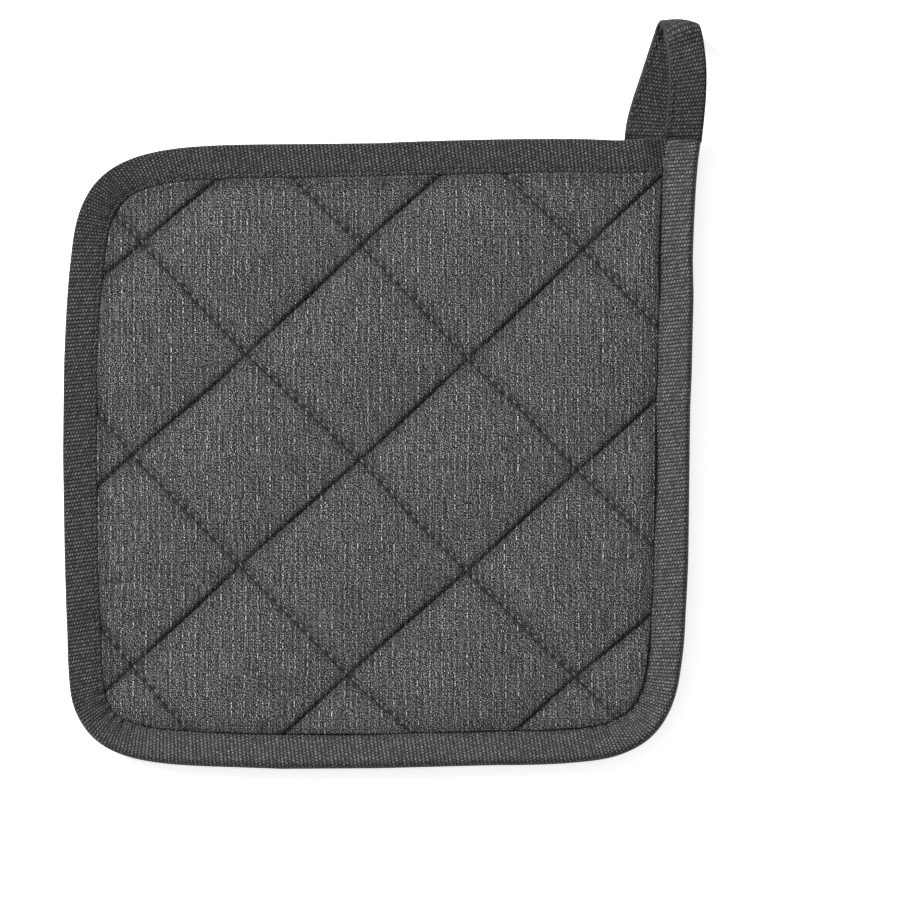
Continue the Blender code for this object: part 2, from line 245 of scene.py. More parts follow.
# The shares of colour that it loses to painted shade at its rims, where it turns over, and where it
# meets the tape
LOOP_RIM_PAINTED_SHADE = 0.5
LOOP_RIM_WIDTH = 0.7
LOOP_TURN_PAINTED_SHADE = 0.6
LOOP_TURN_FROM = 132.0
LOOP_END_PAINTED_SHADE = 0.6
LOOP_END_LOW = 100.2
LOOP_END_HIGH = 102.2
# The strip's thickness, its tape's breadth laid flat, the inset of its stitches, the lean of its
# ribs, and the painted shade that darkens it against the edge tape
LOOP_THICKNESS = 1.6
LOOP_BREADTH = 24.9
LOOP_STITCH_IN = 1.3
LOOP_LEAN_DEG = -8.0
LOOP_PAINTED_SHADE = 0.8

# ---- Unevenness ----

# Cloth and padding are never quite even. A swell is the mean of a few sine waves. Each one's
# way and phase are turned on from the last one's, and its length is a share of the swell's.
SWELL_WAVES = 5
WAVE_TURN = 2.4
WAVE_PHASE = 1.7
SHORTEST_WAVE = 0.7
WAVE_GROWTH = 0.17
Swell = namedtuple("Swell", "height wavelength turn")
LOFT_SWELLS = (Swell(0.05, 55.0, 0.4),)
RIPPLE_SWELLS = (Swell(0.05, 13.0, 1.1), Swell(0.03, 6.0, 2.3))
CLOTH_PULLS_X = (Swell(0.7, 70.0, 0.9), Swell(0.15, 17.0, 2.0))
CLOTH_PULLS_Y = (Swell(0.7, 60.0, 2.9), Swell(0.15, 15.0, 0.2))
TAPE_SWELLS = (Swell(0.12, 37.0, 0.3),)

# ---- How finely the surfaces are cut ----

# The samples on each stretch of the outline. Distances to it use every second or fourth.
OUTLINE_SAMPLES = 121
OUTLINE_STRIDE = 2
COARSE_STRIDE = 4
PAD_CELLS = 280
BACK_CELLS = 140
# The pad's grid lines crowd beside the tape's edge and are drawn to the seams
GRID_SAMPLES = 2001
CROWDED_SHARE = 0.046
CROWDED_WIDTH = 0.012
CROWDING = 2.5
DRAWN_SHARE = 0.55
DRAWN_REACH = 6.0
DRAWN_FREE = 5.0
TAPE_ROW_STEP = 1.2
TAPE_TURN_DEG = 4.0
TAPE_COLUMNS = 64
TAPE_CROWDING = 0.9
LOOP_STEPS_A_ROW = 12
LOOP_COLUMNS = 40
THREAD_RINGS = 7
THREAD_SIDES = 6

# ---- Sewing ----

# The share of a stitch that lies above the cloth, its turn from the sewn line, and how far
# its middle stands above the cloth, in widths of thread: on the rising seams, which are
# drawn tight, on the falling ones, and at the edge. In the quilting some sink further in.
STITCH_SHARE = 0.55
STITCH_TURN_DEG = 8.0
RISING_LIFT = -0.5
FALLING_LIFT = 0.35
EDGE_LIFT = 0.2
STITCH_SINK = 0.5
STITCH_SEED = 7
# The share of its section that a thread loses at its ends, and the gap that the quilting's
# stitches keep from the tape
STITCH_TAPER = 0.5
STITCH_CLEARANCE = 0.5

# ---- Weaves, in millimetres ----

# The pad's cloth: its picks' pitch, how far yarns differ from one another, the cells that the
# long floats lie in, the floats, and the dark line beside them
PICK_PITCH = 1.04
YARN_FAINT = 0.8
YARN_STRONG = 1.15
FLOAT_PAIRS = 2.0
FLOAT_PICKS = 3.0
FLOAT_CORE = 0.16
FLOAT_HALF_WIDTH = 0.4
FLOAT_HALF_LENGTH = 1.15
FLOAT_FADE = 0.3
FLOAT_FAINT = 0.8
FLOAT_STRONG = 1.1
SECOND_FLOAT = 0.62
FLOAT_LIFT = 1.2
FLOAT_SEED = (0.5, 7.5, 3.5)
FLANK_WIDTH = 0.35
FLANK_SHADE = 0.85
# The tape's knots, and the plain selvedge that the loop shows
KNOT_PITCH = 0.97
KNOT_JOIN = 0.22
KNOT_FAINT = 0.62
KNOT_STRONG = 1.32
SELVEDGE_WIDTH = 0.8
SELVEDGE_FADE = 0.25
SELVEDGE_HEIGHT = 0.5
# How a relief shows: the share of the yarn's colour in its dark gaps, as painted shade, and at its
# top, as painted light, the relief that counts as the top, and how high that stands
Shading = namedtuple("Shading", "dark light top height")
WEAVE_SHADING = Shading(0.099, 2.232, 1.2, 0.12)
RIB_SHADING = Shading(0.049, 2.509, 1.1, 0.18)
# The grain of fibres and of single warp yarns, as cells: their size, and how far their
# light may differ from the mean, as a share of it. Real fibres are far finer, so they are
# drawn as coarse as the picture can show.
Grain = namedtuple("Grain", "width length contrast")
PAD_GRAINS = (Grain(0.32, 7.0, 0.9), Grain(0.32, 0.32, 4.2))
TAPE_GRAINS = (Grain(0.32, 0.32, 2.0),)
PAD_ROUGHNESS = 0.95
TAPE_ROUGHNESS = 0.9
THREAD_ROUGHNESS = 0.7
COTTON_SPECULAR = 0.25

# ---- Studio ----

# The camera looks straight down at this place, which is the middle of the photograph
VIEW_CENTRE = (0.0205, -0.0183)
VIEW_WIDTH = 0.2862
CAMERA_HEIGHT = 2.0
SENSOR_WIDTH_MM = 36.0
KEY_PLACE = (-2.198, 1.686, 1.6)
KEY_SIZE = 1.28
FLOOR_HALF = 4.0
FLOOR_GLOW = 0.6
FLOOR_ROUGHNESS = 0.9
WHITE = (1.0, 1.0, 1.0, 1.0)


# ---- Settings ----


def linear_colour(code):
    """The linear RGB of an sRGB hex code such as "f4f4f2": each channel above the toe is
    ((value + 0.055) / 1.055) to the power 2.4, and below it value / 12.92."""
    value = np.array([int(code[i : i + 2], 16) for i in (0, 2, 4)]) / 255.0
    return tuple(np.where(value <= 0.04045, value / 12.92, ((value + 0.055) / 1.055) ** 2.4))


def length_setting(name, description, default, low, high):
    """A length in metres that a user may change."""
    return bpy.props.FloatProperty(
        name=name, description=description, default=default, min=low, max=high, unit="LENGTH"
    )


def colour_setting(name, description, code):
    """A colour that a user may change, given as sRGB and kept in linear light."""
    return bpy.props.FloatVectorProperty(
        name=name,
        description=description,
        default=linear_colour(code),
        min=0.0,
        max=1.0,
        size=3,
        subtype="COLOR",
    )


class PadSettings(bpy.types.PropertyGroup):
    """Sizes and colour of the quilted pad."""

    crown_height: length_setting(
        "Crown height", "Height that the padding reaches far from any seam", 0.0079, 0.006, 0.014
    )
    thread_pitch: length_setting(
        "Thread pitch", "Distance between two pairs of the cloth's yarns", 0.00098, 0.0004, 0.002
    )
    yarn_colour: colour_setting("Yarn colour", "Colour of the dyed cotton yarn", "3d3d3e")


class TapeSettings(bpy.types.PropertyGroup):
    """Sizes and colour of the edge tape and of the loop, which is the same tape."""

    rib_pitch: length_setting(
        "Rib pitch", "Distance between two ribs along the tape", 0.00121, 0.0005, 0.003
    )
    loop_width: length_setting(
        "Loop width", "Width of the folded strip that makes the hanging loop", 0.012, 0.008, 0.016
    )
    tape_colour: colour_setting("Tape colour", "Colour of the dyed cotton tape", "373738")


class SewingSettings(bpy.types.PropertyGroup):
    """Sizes and colours of the sewing thread."""

    quilting_stitch: length_setting(
        "Quilting stitch", "Distance between needle holes along a seam", 0.0034, 0.002, 0.006
    )
    edge_stitch: length_setting(
        "Edge stitch", "Distance between needle holes along the tape", 0.0028, 0.0015, 0.006
    )
    thread_width: length_setting(
        "Thread width", "Diameter of the sewing thread", 0.00042, 0.0002, 0.001
    )
    thread_colour: colour_setting(
        "Quilting thread colour", "Colour of the thread that sews the quilting", "5b5b5c"
    )
    edge_thread_colour: colour_setting(
        "Edge thread colour", "Colour of the thread that sews the tape and the loop", "323233"
    )


class StudioSettings(bpy.types.PropertyGroup):
    """Light of the plain studio."""

    key_power: bpy.props.FloatProperty(
        name="Key light power",
        description="Power of the large soft light at the upper left",
        default=294.0,
        min=0.0,
        max=2000.0,
        unit="POWER",
    )
    fill_strength: bpy.props.FloatProperty(
        name="Fill strength",
        description="Strength of the even white light from all round",
        default=0.5,
        min=0.0,
        max=5.0,
    )


# ---- Nodes and meshes ----


def add_node(tree, kind, inputs=(), **settings):
    """Adds a node, sets its settings, gives each input a value or a link, and returns its
    first output."""
    node = tree.nodes.new(kind)
    for name, value in settings.items():
        setattr(node, name, value)
    for key, value in dict(inputs).items():
        if isinstance(value, bpy.types.NodeSocket):
            tree.links.new(value, node.inputs[key])
        else:
            node.inputs[key].default_value = value
    return node.outputs[0]


def add_object(name, data):
    """A new object in the scene."""
    made = bpy.data.objects.new(name, data)
    bpy.context.scene.collection.objects.link(made)
    return made


def mesh_object(name, points, faces, material, uv=None, crushed=None):
    """An object at the origin whose mesh holds the points, given in millimetres from the square's
    middle. uv holds a row for each corner of each face, and crushed a number for each point, the
    share of colour lost to painted shade, which the cloth's material reads."""
    mesh = bpy.data.meshes.new(name)
    mesh.from_pydata(((points + SQUARE_MIDDLE) * MM).tolist(), [], faces)
    if uv is not None:
        layer = mesh.uv_layers.new(name="Cloth")
        layer.data.foreach_set("uv", np.asarray(uv, dtype=np.float32).ravel())
    if crushed is not None:
        attribute = mesh.attributes.new("crushed", "FLOAT", "POINT")
        attribute.data.foreach_set("value", np.asarray(crushed, dtype=np.float32))
    mesh.materials.append(material)
    mesh.shade_smooth()
    return add_object(name, mesh)


def strip_object(name, points, quads, place, crushed, material):
    """A strip of tape: its outer face is a grid of points, place holds how far each lies
    along and across the flat strip, and its thickness is added on its inner side."""
    uv = np.stack(np.broadcast_arrays(*place), axis=2).reshape(-1, 2)[quads.ravel()]
    made = mesh_object(name, points.reshape(-1, 3), quads.tolist(), material, uv, crushed.ravel())
    solid = made.modifiers.new("Cloth thickness", "SOLIDIFY")
    solid.thickness = TAPE_THICKNESS * MM
    solid.offset = -1.0
    return made


def grid_quads(rows, columns):
    """The corners of each quad of a grid of rows by columns points, as an array."""
    row, column = np.meshgrid(np.arange(rows - 1), np.arange(columns - 1), indexing="ij")
    first = (row * columns + column).ravel()
    return np.stack([first, first + 1, first + columns + 1, first + columns], axis=1)


# ---- Curves ----


def smooth_through(values, steps):
    """A Catmull-Rom curve through the rows of values, with this many steps between two."""
    ends = np.vstack([2.0 * values[0] - values[1], values, 2.0 * values[-1] - values[-2]])
    t = np.linspace(0.0, 1.0, steps, endpoint=False)[None, :, None]
    a, b, c, d = (ends[i : len(ends) - 3 + i, None, :] for i in range(4))
    bend = (2.0 * a - 5.0 * b + 4.0 * c - d) * t**2 + (3.0 * b - a - 3.0 * c + d) * t**3
    curve = b + 0.5 * ((c - a) * t + bend)
    return np.vstack([curve.reshape(-1, values.shape[1]), values[-1:]])


def distance_along(line):
    """How far each point of a line lies along it from its first."""
    return np.concatenate([[0.0], np.cumsum(np.linalg.norm(np.diff(line, axis=0), axis=1))])


def unit_rows(rows):
    """The rows, each brought to a length of 1."""
    return rows / np.linalg.norm(rows, axis=1)[:, None]


def leg_turns(line):
    """The length of each of a line's legs, and how far the line turns there, in radians."""
    leg = np.diff(line, axis=0)
    heading = np.unwrap(np.arctan2(leg[:, 1], leg[:, 0]))
    return np.linalg.norm(leg, axis=1), np.abs(np.gradient(heading))


def read_line(line, travelled, at):
    """The line's points where it has travelled each of the distances in at."""
    return np.column_stack([np.interp(at, travelled, line[:, i]) for i in range(line.shape[1])])


def inward_directions(line):
    """At each point of an anticlockwise line, the way to its left, stretched at bends so
    that a line moved by it stays parallel: the sum of the two legs' left normals over one
    plus their dot product."""
    leg = unit_rows(np.diff(line, axis=0))
    left = np.column_stack([-leg[:, 1], leg[:, 0]])
    before = np.vstack([left[:1], left])
    after = np.vstack([left, left[-1:]])
    return (before + after) / (1.0 + (before * after).sum(axis=1))[:, None]


def distance_to_line(points, line):
    """From each point to the nearest place on an open line, one leg of it at a time."""
    nearest = np.full(len(points), np.inf)
    for start, end in zip(line, line[1:]):
        leg = end - start
        share = np.clip((points - start) @ leg / (leg @ leg), 0.0, 1.0)
        gap = points - start - share[:, None] * leg
        nearest = np.minimum(nearest, (gap**2).sum(axis=1))
    return np.sqrt(nearest)


def smooth_step(value, low, high):
    """0 below low, 1 above high, and 3t^2 - 2t^3 of the way between them."""
    t = np.clip((value - low) / (high - low), 0.0, 1.0)
    return t * t * (3.0 - 2.0 * t)


def bell(value, width):
    """exp(-(value / width)^2): 1 at nothing, and fading on either side."""
    return np.exp(-((value / width) ** 2))


def smoothed(values, count):
    """The values, each averaged over this many of them under a Hann bell."""
    kernel = np.hanning(count)
    return np.convolve(values, kernel / kernel.sum(), mode="same")


def unevenness(points, swells):
    """The sum of some gentle random-looking swells, each its height times the mean of sine
    waves of different ways and lengths. It is steady from run to run."""
    total = np.zeros(len(points))
    for height, wavelength, turn in swells:
        for k in range(SWELL_WAVES):
            angle = turn + WAVE_TURN * k
            length = wavelength * (SHORTEST_WAVE + WAVE_GROWTH * k)
            way = np.array([np.cos(angle), np.sin(angle)])
            wave = np.sin(2.0 * np.pi * (points @ way) / length + WAVE_PHASE * k + turn)
            total += height * wave / SWELL_WAVES
    return total


# ---- Outline of the square ----


def corner_quarter(corner, from_deg):
    """A quarter of the superellipse |x/a|^n + |y/b|^n = 1, anticlockwise from from_deg."""
    angle = np.radians(from_deg + np.linspace(0.0, 90.0, OUTLINE_SAMPLES))
    power = 2.0 / corner.squareness
    x = np.sign(np.cos(angle)) * np.abs(np.cos(angle)) ** power * corner.half_width
    y = np.sign(np.sin(angle)) * np.abs(np.sin(angle)) ** power * corner.half_height
    return np.column_stack([x, y])


def top_edge_from_corner():
    """The top edge from the square corner to the middle: a straight line and a bow."""
    along = np.linspace(1.0, 0.0, OUTLINE_SAMPLES)
    rise = (LOOP_CORNER_Y - TOP_LEFT.half_height) * along
    bow = 4.0 * TOP_EDGE_BOW * along * (1.0 - along)
    return np.column_stack([LOOP_CORNER_X * along, TOP_LEFT.half_height + rise + bow])


def right_edge_to_corner():
    """The right edge above its middle: it flares out as the cube of its height."""
    y = np.linspace(0.0, LOOP_CORNER_Y, OUTLINE_SAMPLES)
    flare = LOOP_CORNER_X - BOTTOM_RIGHT.half_width
    x = BOTTOM_RIGHT.half_width + flare * (y / LOOP_CORNER_Y) ** FLARE_POWER
    return np.column_stack([x, y])


def outline_without_flare():
    """The outline from the square corner, anticlockwise, to the middle of the right edge."""
    stretches = [
        top_edge_from_corner(),
        corner_quarter(TOP_LEFT, 90.0),
        corner_quarter(BOTTOM_LEFT, 180.0),
        corner_quarter(BOTTOM_RIGHT, 270.0),
    ]
    return np.concatenate([stretches[0]] + [one[1:] for one in stretches[1:]])


def whole_outline():
    """The whole outline, anticlockwise from the square corner and back to it, moved outward
    by the sewn edge's strays, which are read at each millimetre and smoothed over an odd
    number of them, about STRAY_SPREAD."""
    line = np.vstack([outline_without_flare(), right_edge_to_corner()[1:]])
    travelled = distance_along(line)
    steps = np.arange(-STRAY_SPREAD, travelled[-1] + STRAY_SPREAD, 1.0)
    stations, strays = np.array(EDGE_STRAYS).T
    strays = smoothed(np.interp(steps, stations, strays), int(STRAY_SPREAD) | 1)
    return line - np.interp(travelled, steps, strays)[:, None] * inward_directions(line)


def edge_distances(points):
    """From each point to the right edge above its middle, and to the rest of the outline."""
    line = whole_outline()
    middle = len(line) - OUTLINE_SAMPLES
    return (
        distance_to_line(points, line[middle::COARSE_STRIDE]),
        distance_to_line(points, line[: middle + 1 : OUTLINE_STRIDE]),
    )


def outline_inset(points):
    """From each point to the nearest place on the outline."""
    return np.min(edge_distances(points), axis=0)


# ---- Heights of the quilted pad ----


def seam_axes(seam):
    """The way along a seam, and the way across it to its left."""
    angle = np.radians(seam.angle_deg)
    along = np.array([np.cos(angle), np.sin(angle)])
    return along, np.array([-along[1], along[0]])


def seam_coordinates(points, seam):
    """How far each point lies along a seam, and how far to the left of its sewn line."""
    along, across = seam_axes(seam)
    travelled = points @ along
    strayed = np.interp(travelled, SEAM_STATIONS, seam.strayed)
    return travelled, points @ across - seam.offset - strayed


def stitch_wave(travelled, pitch):
    """A cosine along a sewn line: 1 at each needle hole, and -1 halfway to the next."""
    return np.cos(2.0 * np.pi * travelled / pitch)


def fullness(aside, draw, wave=0.0):
    """How full the padding is at a distance to the left or right of a sewn line: 1, less the
    swell times exp(-distance / reach), less the furrow times a bell of the distance over
    its width, which the wave widens and narrows once a stitch."""
    width = draw.width * (1.0 + draw.scallop * wave)
    swell = draw.swell * np.exp(-np.abs(aside) / draw.reach)
    return 1.0 - swell - draw.furrow * bell(aside, width)


def sewn_fullness(points, seams, draw, pitch):
    """The fullness beside whichever of these seams draws the padding in most."""
    least = np.ones(len(points))
    for seam in seams:
        travelled, aside = seam_coordinates(points, seam)
        least = np.minimum(least, fullness(aside, draw, stitch_wave(travelled, pitch)))
    return least


def unshaded_share(aside, draw, wave=0.0):
    """The share of its colour that the cloth keeps under painted shade at a distance to the left of
    a sewn line: 1, less a wide bell at the line, and less a narrow one at the crease."""
    crease = draw.crease * bell(aside + CREASE_ASIDE, CREASE_WIDTH)
    crease = crease * (1.0 - CREASE_WAVE + CREASE_WAVE * wave)
    return 1.0 - draw.crushed * bell(aside, draw.crush_width) - crease


def painted_shade_share(points, pitch):
    """The share of its colour that the cloth loses beside the seams and the tape: painted shade,
    partly also crushed cloth beside the seams.
    """
    kept = np.ones(len(points))
    for seams, draw in ((RISING_SEAMS, RISING_DRAW), (FALLING_SEAMS, FALLING_DRAW)):
        for seam in seams:
            travelled, aside = seam_coordinates(points, seam)
            kept *= unshaded_share(aside, draw, stitch_wave(travelled, pitch))
    inset = outline_inset(points)
    return 1.0 - kept * unshaded_share(np.maximum(inset - TAPE_WIDTH, 0.0), EDGE_DRAW)


def crease_depth(points):
    """Depth of the small creases: each a bell along it times a bell across it."""
    depth = np.zeros(len(points))
    for crease in CREASES:
        along, across = seam_axes(crease)
        offset = points - (crease.x, crease.y)
        share = bell(offset @ along, crease.length) * bell(offset @ across, crease.width)
        depth += crease.depth * share
    return depth


def stitch_dip(inset):
    """How far either side of the tape dips towards its stitching."""
    return STITCH_DIP * bell(inset - STITCH_INSET, STITCH_DIP_WIDTH)


def tape_face(inset):
    """Height of the tape's upper side before its fold is rounded: it falls evenly inward,
    dips under the stitching, and rolls down at its edge."""
    roll = TAPE_ROLL * smooth_step(inset, TAPE_WIDTH - TAPE_ROLL_WIDTH, TAPE_WIDTH)
    return TAPE_RIM - TAPE_FALL * inset - stitch_dip(inset) - roll


def tape_back(inset):
    """Height of the tape's lower side before its fold is rounded."""
    return TAPE_FOOT + TAPE_CLIMB * inset + stitch_dip(inset)


def start_squeeze(from_start):
    """The share of the tape's depth that is left at a distance along it from its start."""
    return 1.0 - LAP_SQUEEZE * (1.0 - smooth_step(from_start, 0.0, LAP_STRETCH))


def pad_heights(points, crown, pitch):
    """Height of the pad's face and of its back. Inside the tape both follow the tape, also
    where its start is squeezed. Past its stitching they swell away from every sewn line by
    the product of three fullnesses, less the creases. The back's crowns are flat where they
    rest."""
    lid = TAPE_THICKNESS + PAD_CLEARANCE
    sewn = sewn_fullness(points, RISING_SEAMS, RISING_DRAW, pitch)
    sewn = sewn * sewn_fullness(points, FALLING_SEAMS, FALLING_DRAW, pitch)
    loft = 1.0 + unevenness(points, LOFT_SWELLS)
    ripple = unevenness(points, RIPPLE_SWELLS) - crease_depth(points)
    faces = []
    backs = []
    upper_edge = np.where(points[:, 1] > 0.0, start_squeeze(TAPE_START_X - points[:, 0]), 1.0)
    for inset, squeeze in zip(edge_distances(points), (1.0, upper_edge)):
        full = sewn * fullness(np.maximum(inset - TAPE_WIDTH, 0.0), EDGE_DRAW)
        free = smooth_step(inset, CLEAR_TO, FREE_FROM)
        face = SEAM_TOP + (crown - SEAM_TOP) * full * loft + ripple - lid * (1.0 - free)
        back = SEAM_BACK * (1.0 - np.minimum(full * BACK_PRESS, 1.0)) + lid * (1.0 - free)
        out = smooth_step(inset, COVERED_TO, TAPE_WIDTH)
        in_tape = TAPE_MIDDLE + (tape_face(inset) - lid - TAPE_MIDDLE) * squeeze
        under_tape = TAPE_MIDDLE + (tape_back(inset) + lid - TAPE_MIDDLE) * squeeze
        faces.append(in_tape + (face - in_tape) * out)
        backs.append(under_tape + (back - under_tape) * out)
    return np.min(faces, axis=0), np.max(backs, axis=0)


# ---- Quilted pad ----


def grid_shares(cells):
    """Where the pad's grid lines lie between two opposite sides, as shares from 0 to 1. They
    crowd together beside the tape's edge: the spacing is one over 1 plus two bells."""
    t = np.linspace(0.0, 1.0, GRID_SAMPLES)
    from_edge = np.minimum(t, 1.0 - t)
    total = np.cumsum(1.0 + CROWDING * bell(from_edge - CROWDED_SHARE, CROWDED_WIDTH))
    total = (total - total[0]) / (total[-1] - total[0])
    return np.interp(np.linspace(0.0, 1.0, cells + 1), total, t)


def pad_boundary(cells):
    """The pad's raw edge as four sides of this many cells: the top from right to left, then
    the left, the bottom and the right, each stepped by the grid's shares."""
    outline = whole_outline()
    joined = np.vstack([outline[-2], outline, outline[1]])
    ring = (joined + inward_directions(joined) * PAD_INSET)[1:-1]
    travelled = distance_along(ring)
    thirds = [np.argmin(ring @ way) for way in ((1.0, -1.0), (1.0, 1.0), (-1.0, 1.0))]
    stops = [0.0] + [travelled[i] for i in thirds] + [travelled[-1]]
    return [
        read_line(ring, travelled, start + (end - start) * grid_shares(cells))
        for start, end in zip(stops, stops[1:])
    ]


def patch(sides):
    """A grid spread between four sides, as a Coons patch: the blend of top and bottom, plus
    the blend of left and right, less the blend of the four corners."""
    top, left, bottom, right = sides
    top = top[::-1]
    left = left[::-1]
    shares = grid_shares(len(top) - 1)
    u = shares[None, :, None]
    v = shares[:, None, None]
    up = (1.0 - v) * bottom[None] + v * top[None]
    over = (1.0 - u) * left[:, None] + u * right[:, None]
    low = (1.0 - u) * bottom[0] + u * bottom[-1]
    high = (1.0 - u) * top[0] + u * top[-1]
    return up + over - ((1.0 - v) * low + v * high)


def drawn_to_seams(points):
    """The points moved towards the sewn lines, so that the furrows get more of them: each
    line draws by a share of the distance that fades as a bell. The outer rim stays."""
    moved = points.copy()
    for seam in RISING_SEAMS + FALLING_SEAMS:
        across = seam_axes(seam)[1]
        aside = seam_coordinates(points, seam)[1]
        drawn = DRAWN_SHARE * aside * bell(aside, DRAWN_REACH)
        moved -= drawn[:, None] * across
    inset = outline_inset(points)
    free = smooth_step(inset, TAPE_WIDTH, TAPE_WIDTH + DRAWN_FREE)[:, None]
    return points + (moved - points) * free


def pad_side(cells):
    """One side of the pad seen from above, as a square grid of points."""
    grid = patch(pad_boundary(cells))
    points = drawn_to_seams(grid.reshape(-1, 2))
    return points, np.arange(len(points)).reshape(cells + 1, cells + 1)


def rim_order(index):
    """The grid's outer points in order, anticlockwise from the lower left corner."""
    return np.concatenate([index[0, :-1], index[:-1, -1], index[-1, :0:-1], index[:0:-1, 0]])


def cloth_place(points):
    """Where the flat cloth's weave lies on each point: the point itself, pulled a little
    out of true as the quilting takes the cloth up."""
    pulls = [unevenness(points, swells) for swells in (CLOTH_PULLS_X, CLOTH_PULLS_Y)]
    return points + np.column_stack(pulls)


def quilted_pad(pad, sewing, material):
    """One filled body: a fine grid for the face, a coarser one for the back, and a rim that
    joins two cells of the face to one of the back."""
    crown = pad.crown_height / MM
    pitch = sewing.quilting_stitch / MM
    face, face_index = pad_side(PAD_CELLS)
    back, back_index = pad_side(BACK_CELLS)
    face_height = pad_heights(face, crown, pitch)[0]
    back_height = pad_heights(back, crown, pitch)[1]
    heights = np.concatenate([face_height, back_height])
    points = np.column_stack([np.vstack([face, back]), heights])
    upper = rim_order(face_index)
    lower = rim_order(back_index) + len(face)
    one_on, two_on = (np.roll(upper, -step)[::2] for step in (1, 2))
    rim = np.stack([np.roll(lower, -1), two_on, one_on, upper[::2], lower], axis=1)
    face_quads = grid_quads(*face_index.shape)
    back_quads = grid_quads(*back_index.shape)[:, ::-1] + len(face)
    faces = face_quads.tolist() + back_quads.tolist() + rim.tolist()
    corners = np.concatenate([face_quads.ravel(), back_quads.ravel(), rim.ravel()])
    uv = cloth_place(points[:, :2])[corners]
    crushed = painted_shade_share(points[:, :2], pitch)
    return mesh_object("quilted_pad_cloth", points, faces, material, uv, crushed)


# ---- Edge tape ----


def tape_path():
    """The outline from where the tape starts, under its own other end, to the corner, with
    a point every TAPE_ROW_STEP and closer where it turns."""
    line = whole_outline()
    start = np.argmax(line[:, 0] < TAPE_START_X)
    y = np.interp(TAPE_START_X, line[start::-1, 0], line[start::-1, 1])
    line = np.vstack([(TAPE_START_X, y), line[start:]])
    length, turn = leg_turns(line)
    cost = length / TAPE_ROW_STEP + turn / np.radians(TAPE_TURN_DEG)
    total = np.concatenate([[0.0], np.cumsum(cost)])
    return read_line(line, total, np.linspace(0.0, total[-1], int(total[-1]) + 1))


def tape_turning(path):
    """How sharply the path turns at each point, from 0 on a straight side to 1 at a corner."""
    length, turn = leg_turns(path)
    travelled = distance_along(path)
    bend = np.interp(travelled, travelled[1:], turn / length)
    return np.clip(smoothed(bend, BEND_SMOOTHING) / CORNER_BEND, 0.0, 1.0)


def tape_insets():
    """Insets of the columns across the folded tape, from the back's edge round the fold to
    the face's edge. They lie closest at the fold and the edges: on each side the inset is
    the width times t less the crowding times sin(2 pi t) / 2 pi."""
    t = np.abs(np.linspace(-1.0, 1.0, TAPE_COLUMNS + 1))
    return TAPE_WIDTH * (t - TAPE_CROWDING * np.sin(2.0 * np.pi * t) / (2.0 * np.pi))


def rounded(inset, fold_width):
    """A quarter of an ellipse: 0 at the fold, and 1 from the fold's width inward."""
    return np.sqrt(1.0 - (1.0 - np.minimum(inset / fold_width, 1.0)) ** 2)


def tape_skin(sewing):
    """The tape's outer face: its folded section carried round the outline, square at both ends. Its
    height is the section's, dented at each needle hole, gathered in sine-shaped puckers on the
    inner side of the corners, squeezed at its start and spread at its end. Also gives the places
    along and across it, and the share of colour lost at each point, mostly to painted shade."""
    path = tape_path()
    along = distance_along(path)
    inward = inward_directions(path)
    inward[0] = (0.0, -1.0)
    square = smooth_step(along, along[-1] - SQUARE_STRETCH, along[-1])[:, None]
    inward += (np.array([-1.0, 0.0]) - inward) * square
    inset = tape_insets()[None, :]
    path += START_TUCK * (1.0 - smooth_step(along, 0.0, START_TUCK_LENGTH))[:, None] * inward
    on_face = np.arange(TAPE_COLUMNS + 1)[None, :] > TAPE_COLUMNS // 2
    rightness = np.maximum(-inward[:, :1], 0.0) ** 2
    lowness = np.maximum(inward[:, 1:], 0.0) ** 2
    turning = tape_turning(path)[:, None]
    hole = stitch_wave(along, sewing.edge_stitch / MM)[:, None]
    groove = bell(inset - STITCH_INSET, GROOVE_WIDTH)
    pucker = turning * np.sin(2.0 * np.pi * along / PUCKER_PITCH)[:, None]
    inner_side = smooth_step(inset, PUCKER_FROM, TAPE_WIDTH)
    swell = unevenness(np.column_stack([along, along * 0.0]), TAPE_SWELLS)
    relief = PUCKER_HEIGHT * pucker * inner_side + swell[:, None]
    relief -= (HOLE_DENT + LOWER_DENT * lowness) * groove * hole
    relief += LAP_RISE * lap_share(path, along)[:, None] * inner_side
    leftness = np.maximum(inward[:, :1], 0.0)
    # Painted shade: the pad's shadow on the inner edge, the puckers' valleys and the cut end; also
    # darker at the left corners and along the lower side
    crushed = INNER_PAINTED_SHADOW * smooth_step(inset, INNER_FROM, TAPE_WIDTH)
    crushed = crushed + PUCKER_PAINTED_SHADE * np.maximum(-pucker, 0.0) * inner_side
    crushed += CORNER_DARKENING * turning * leftness + LOWER_DARKENING * lowness
    at_end = smooth_step(along, along[-1] - END_SHADE_LENGTH, along[-1])[:, None]
    crushed += END_PAINTED_SHADE * at_end
    fold_width = TIGHT_FOLD + RIGHT_FOLD * rightness + LOWER_FOLD * lowness
    face = (tape_face(inset) + relief - TAPE_MIDDLE) * rounded(inset, fold_width)
    back = (tape_back(inset) - relief - TAPE_MIDDLE) * rounded(inset, BACK_FOLD)
    squeeze = start_squeeze(along)[:, None]
    points = np.empty((len(path), TAPE_COLUMNS + 1, 3))
    points[:, :, :2] = path[:, None, :] + inset[:, :, None] * inward[:, None, :]
    points[:, :, 2] = TAPE_MIDDLE + np.where(on_face, face, back) * squeeze
    middle_row = distance_along(np.column_stack([inset[0], points[len(path) // 2, :, 2]]))
    return points, along, middle_row - middle_row[-1] / 2.0, crushed


def lap_share(path, along):
    """1 on the stretch of the tape's end that lies over its start, and 0 elsewhere."""
    last_side = along > along[-1] / 2.0
    return last_side * smooth_step(path[:, 1], LAP_RISE_LOW, LAP_RISE_HIGH) * (path[:, 0] > 0.0)


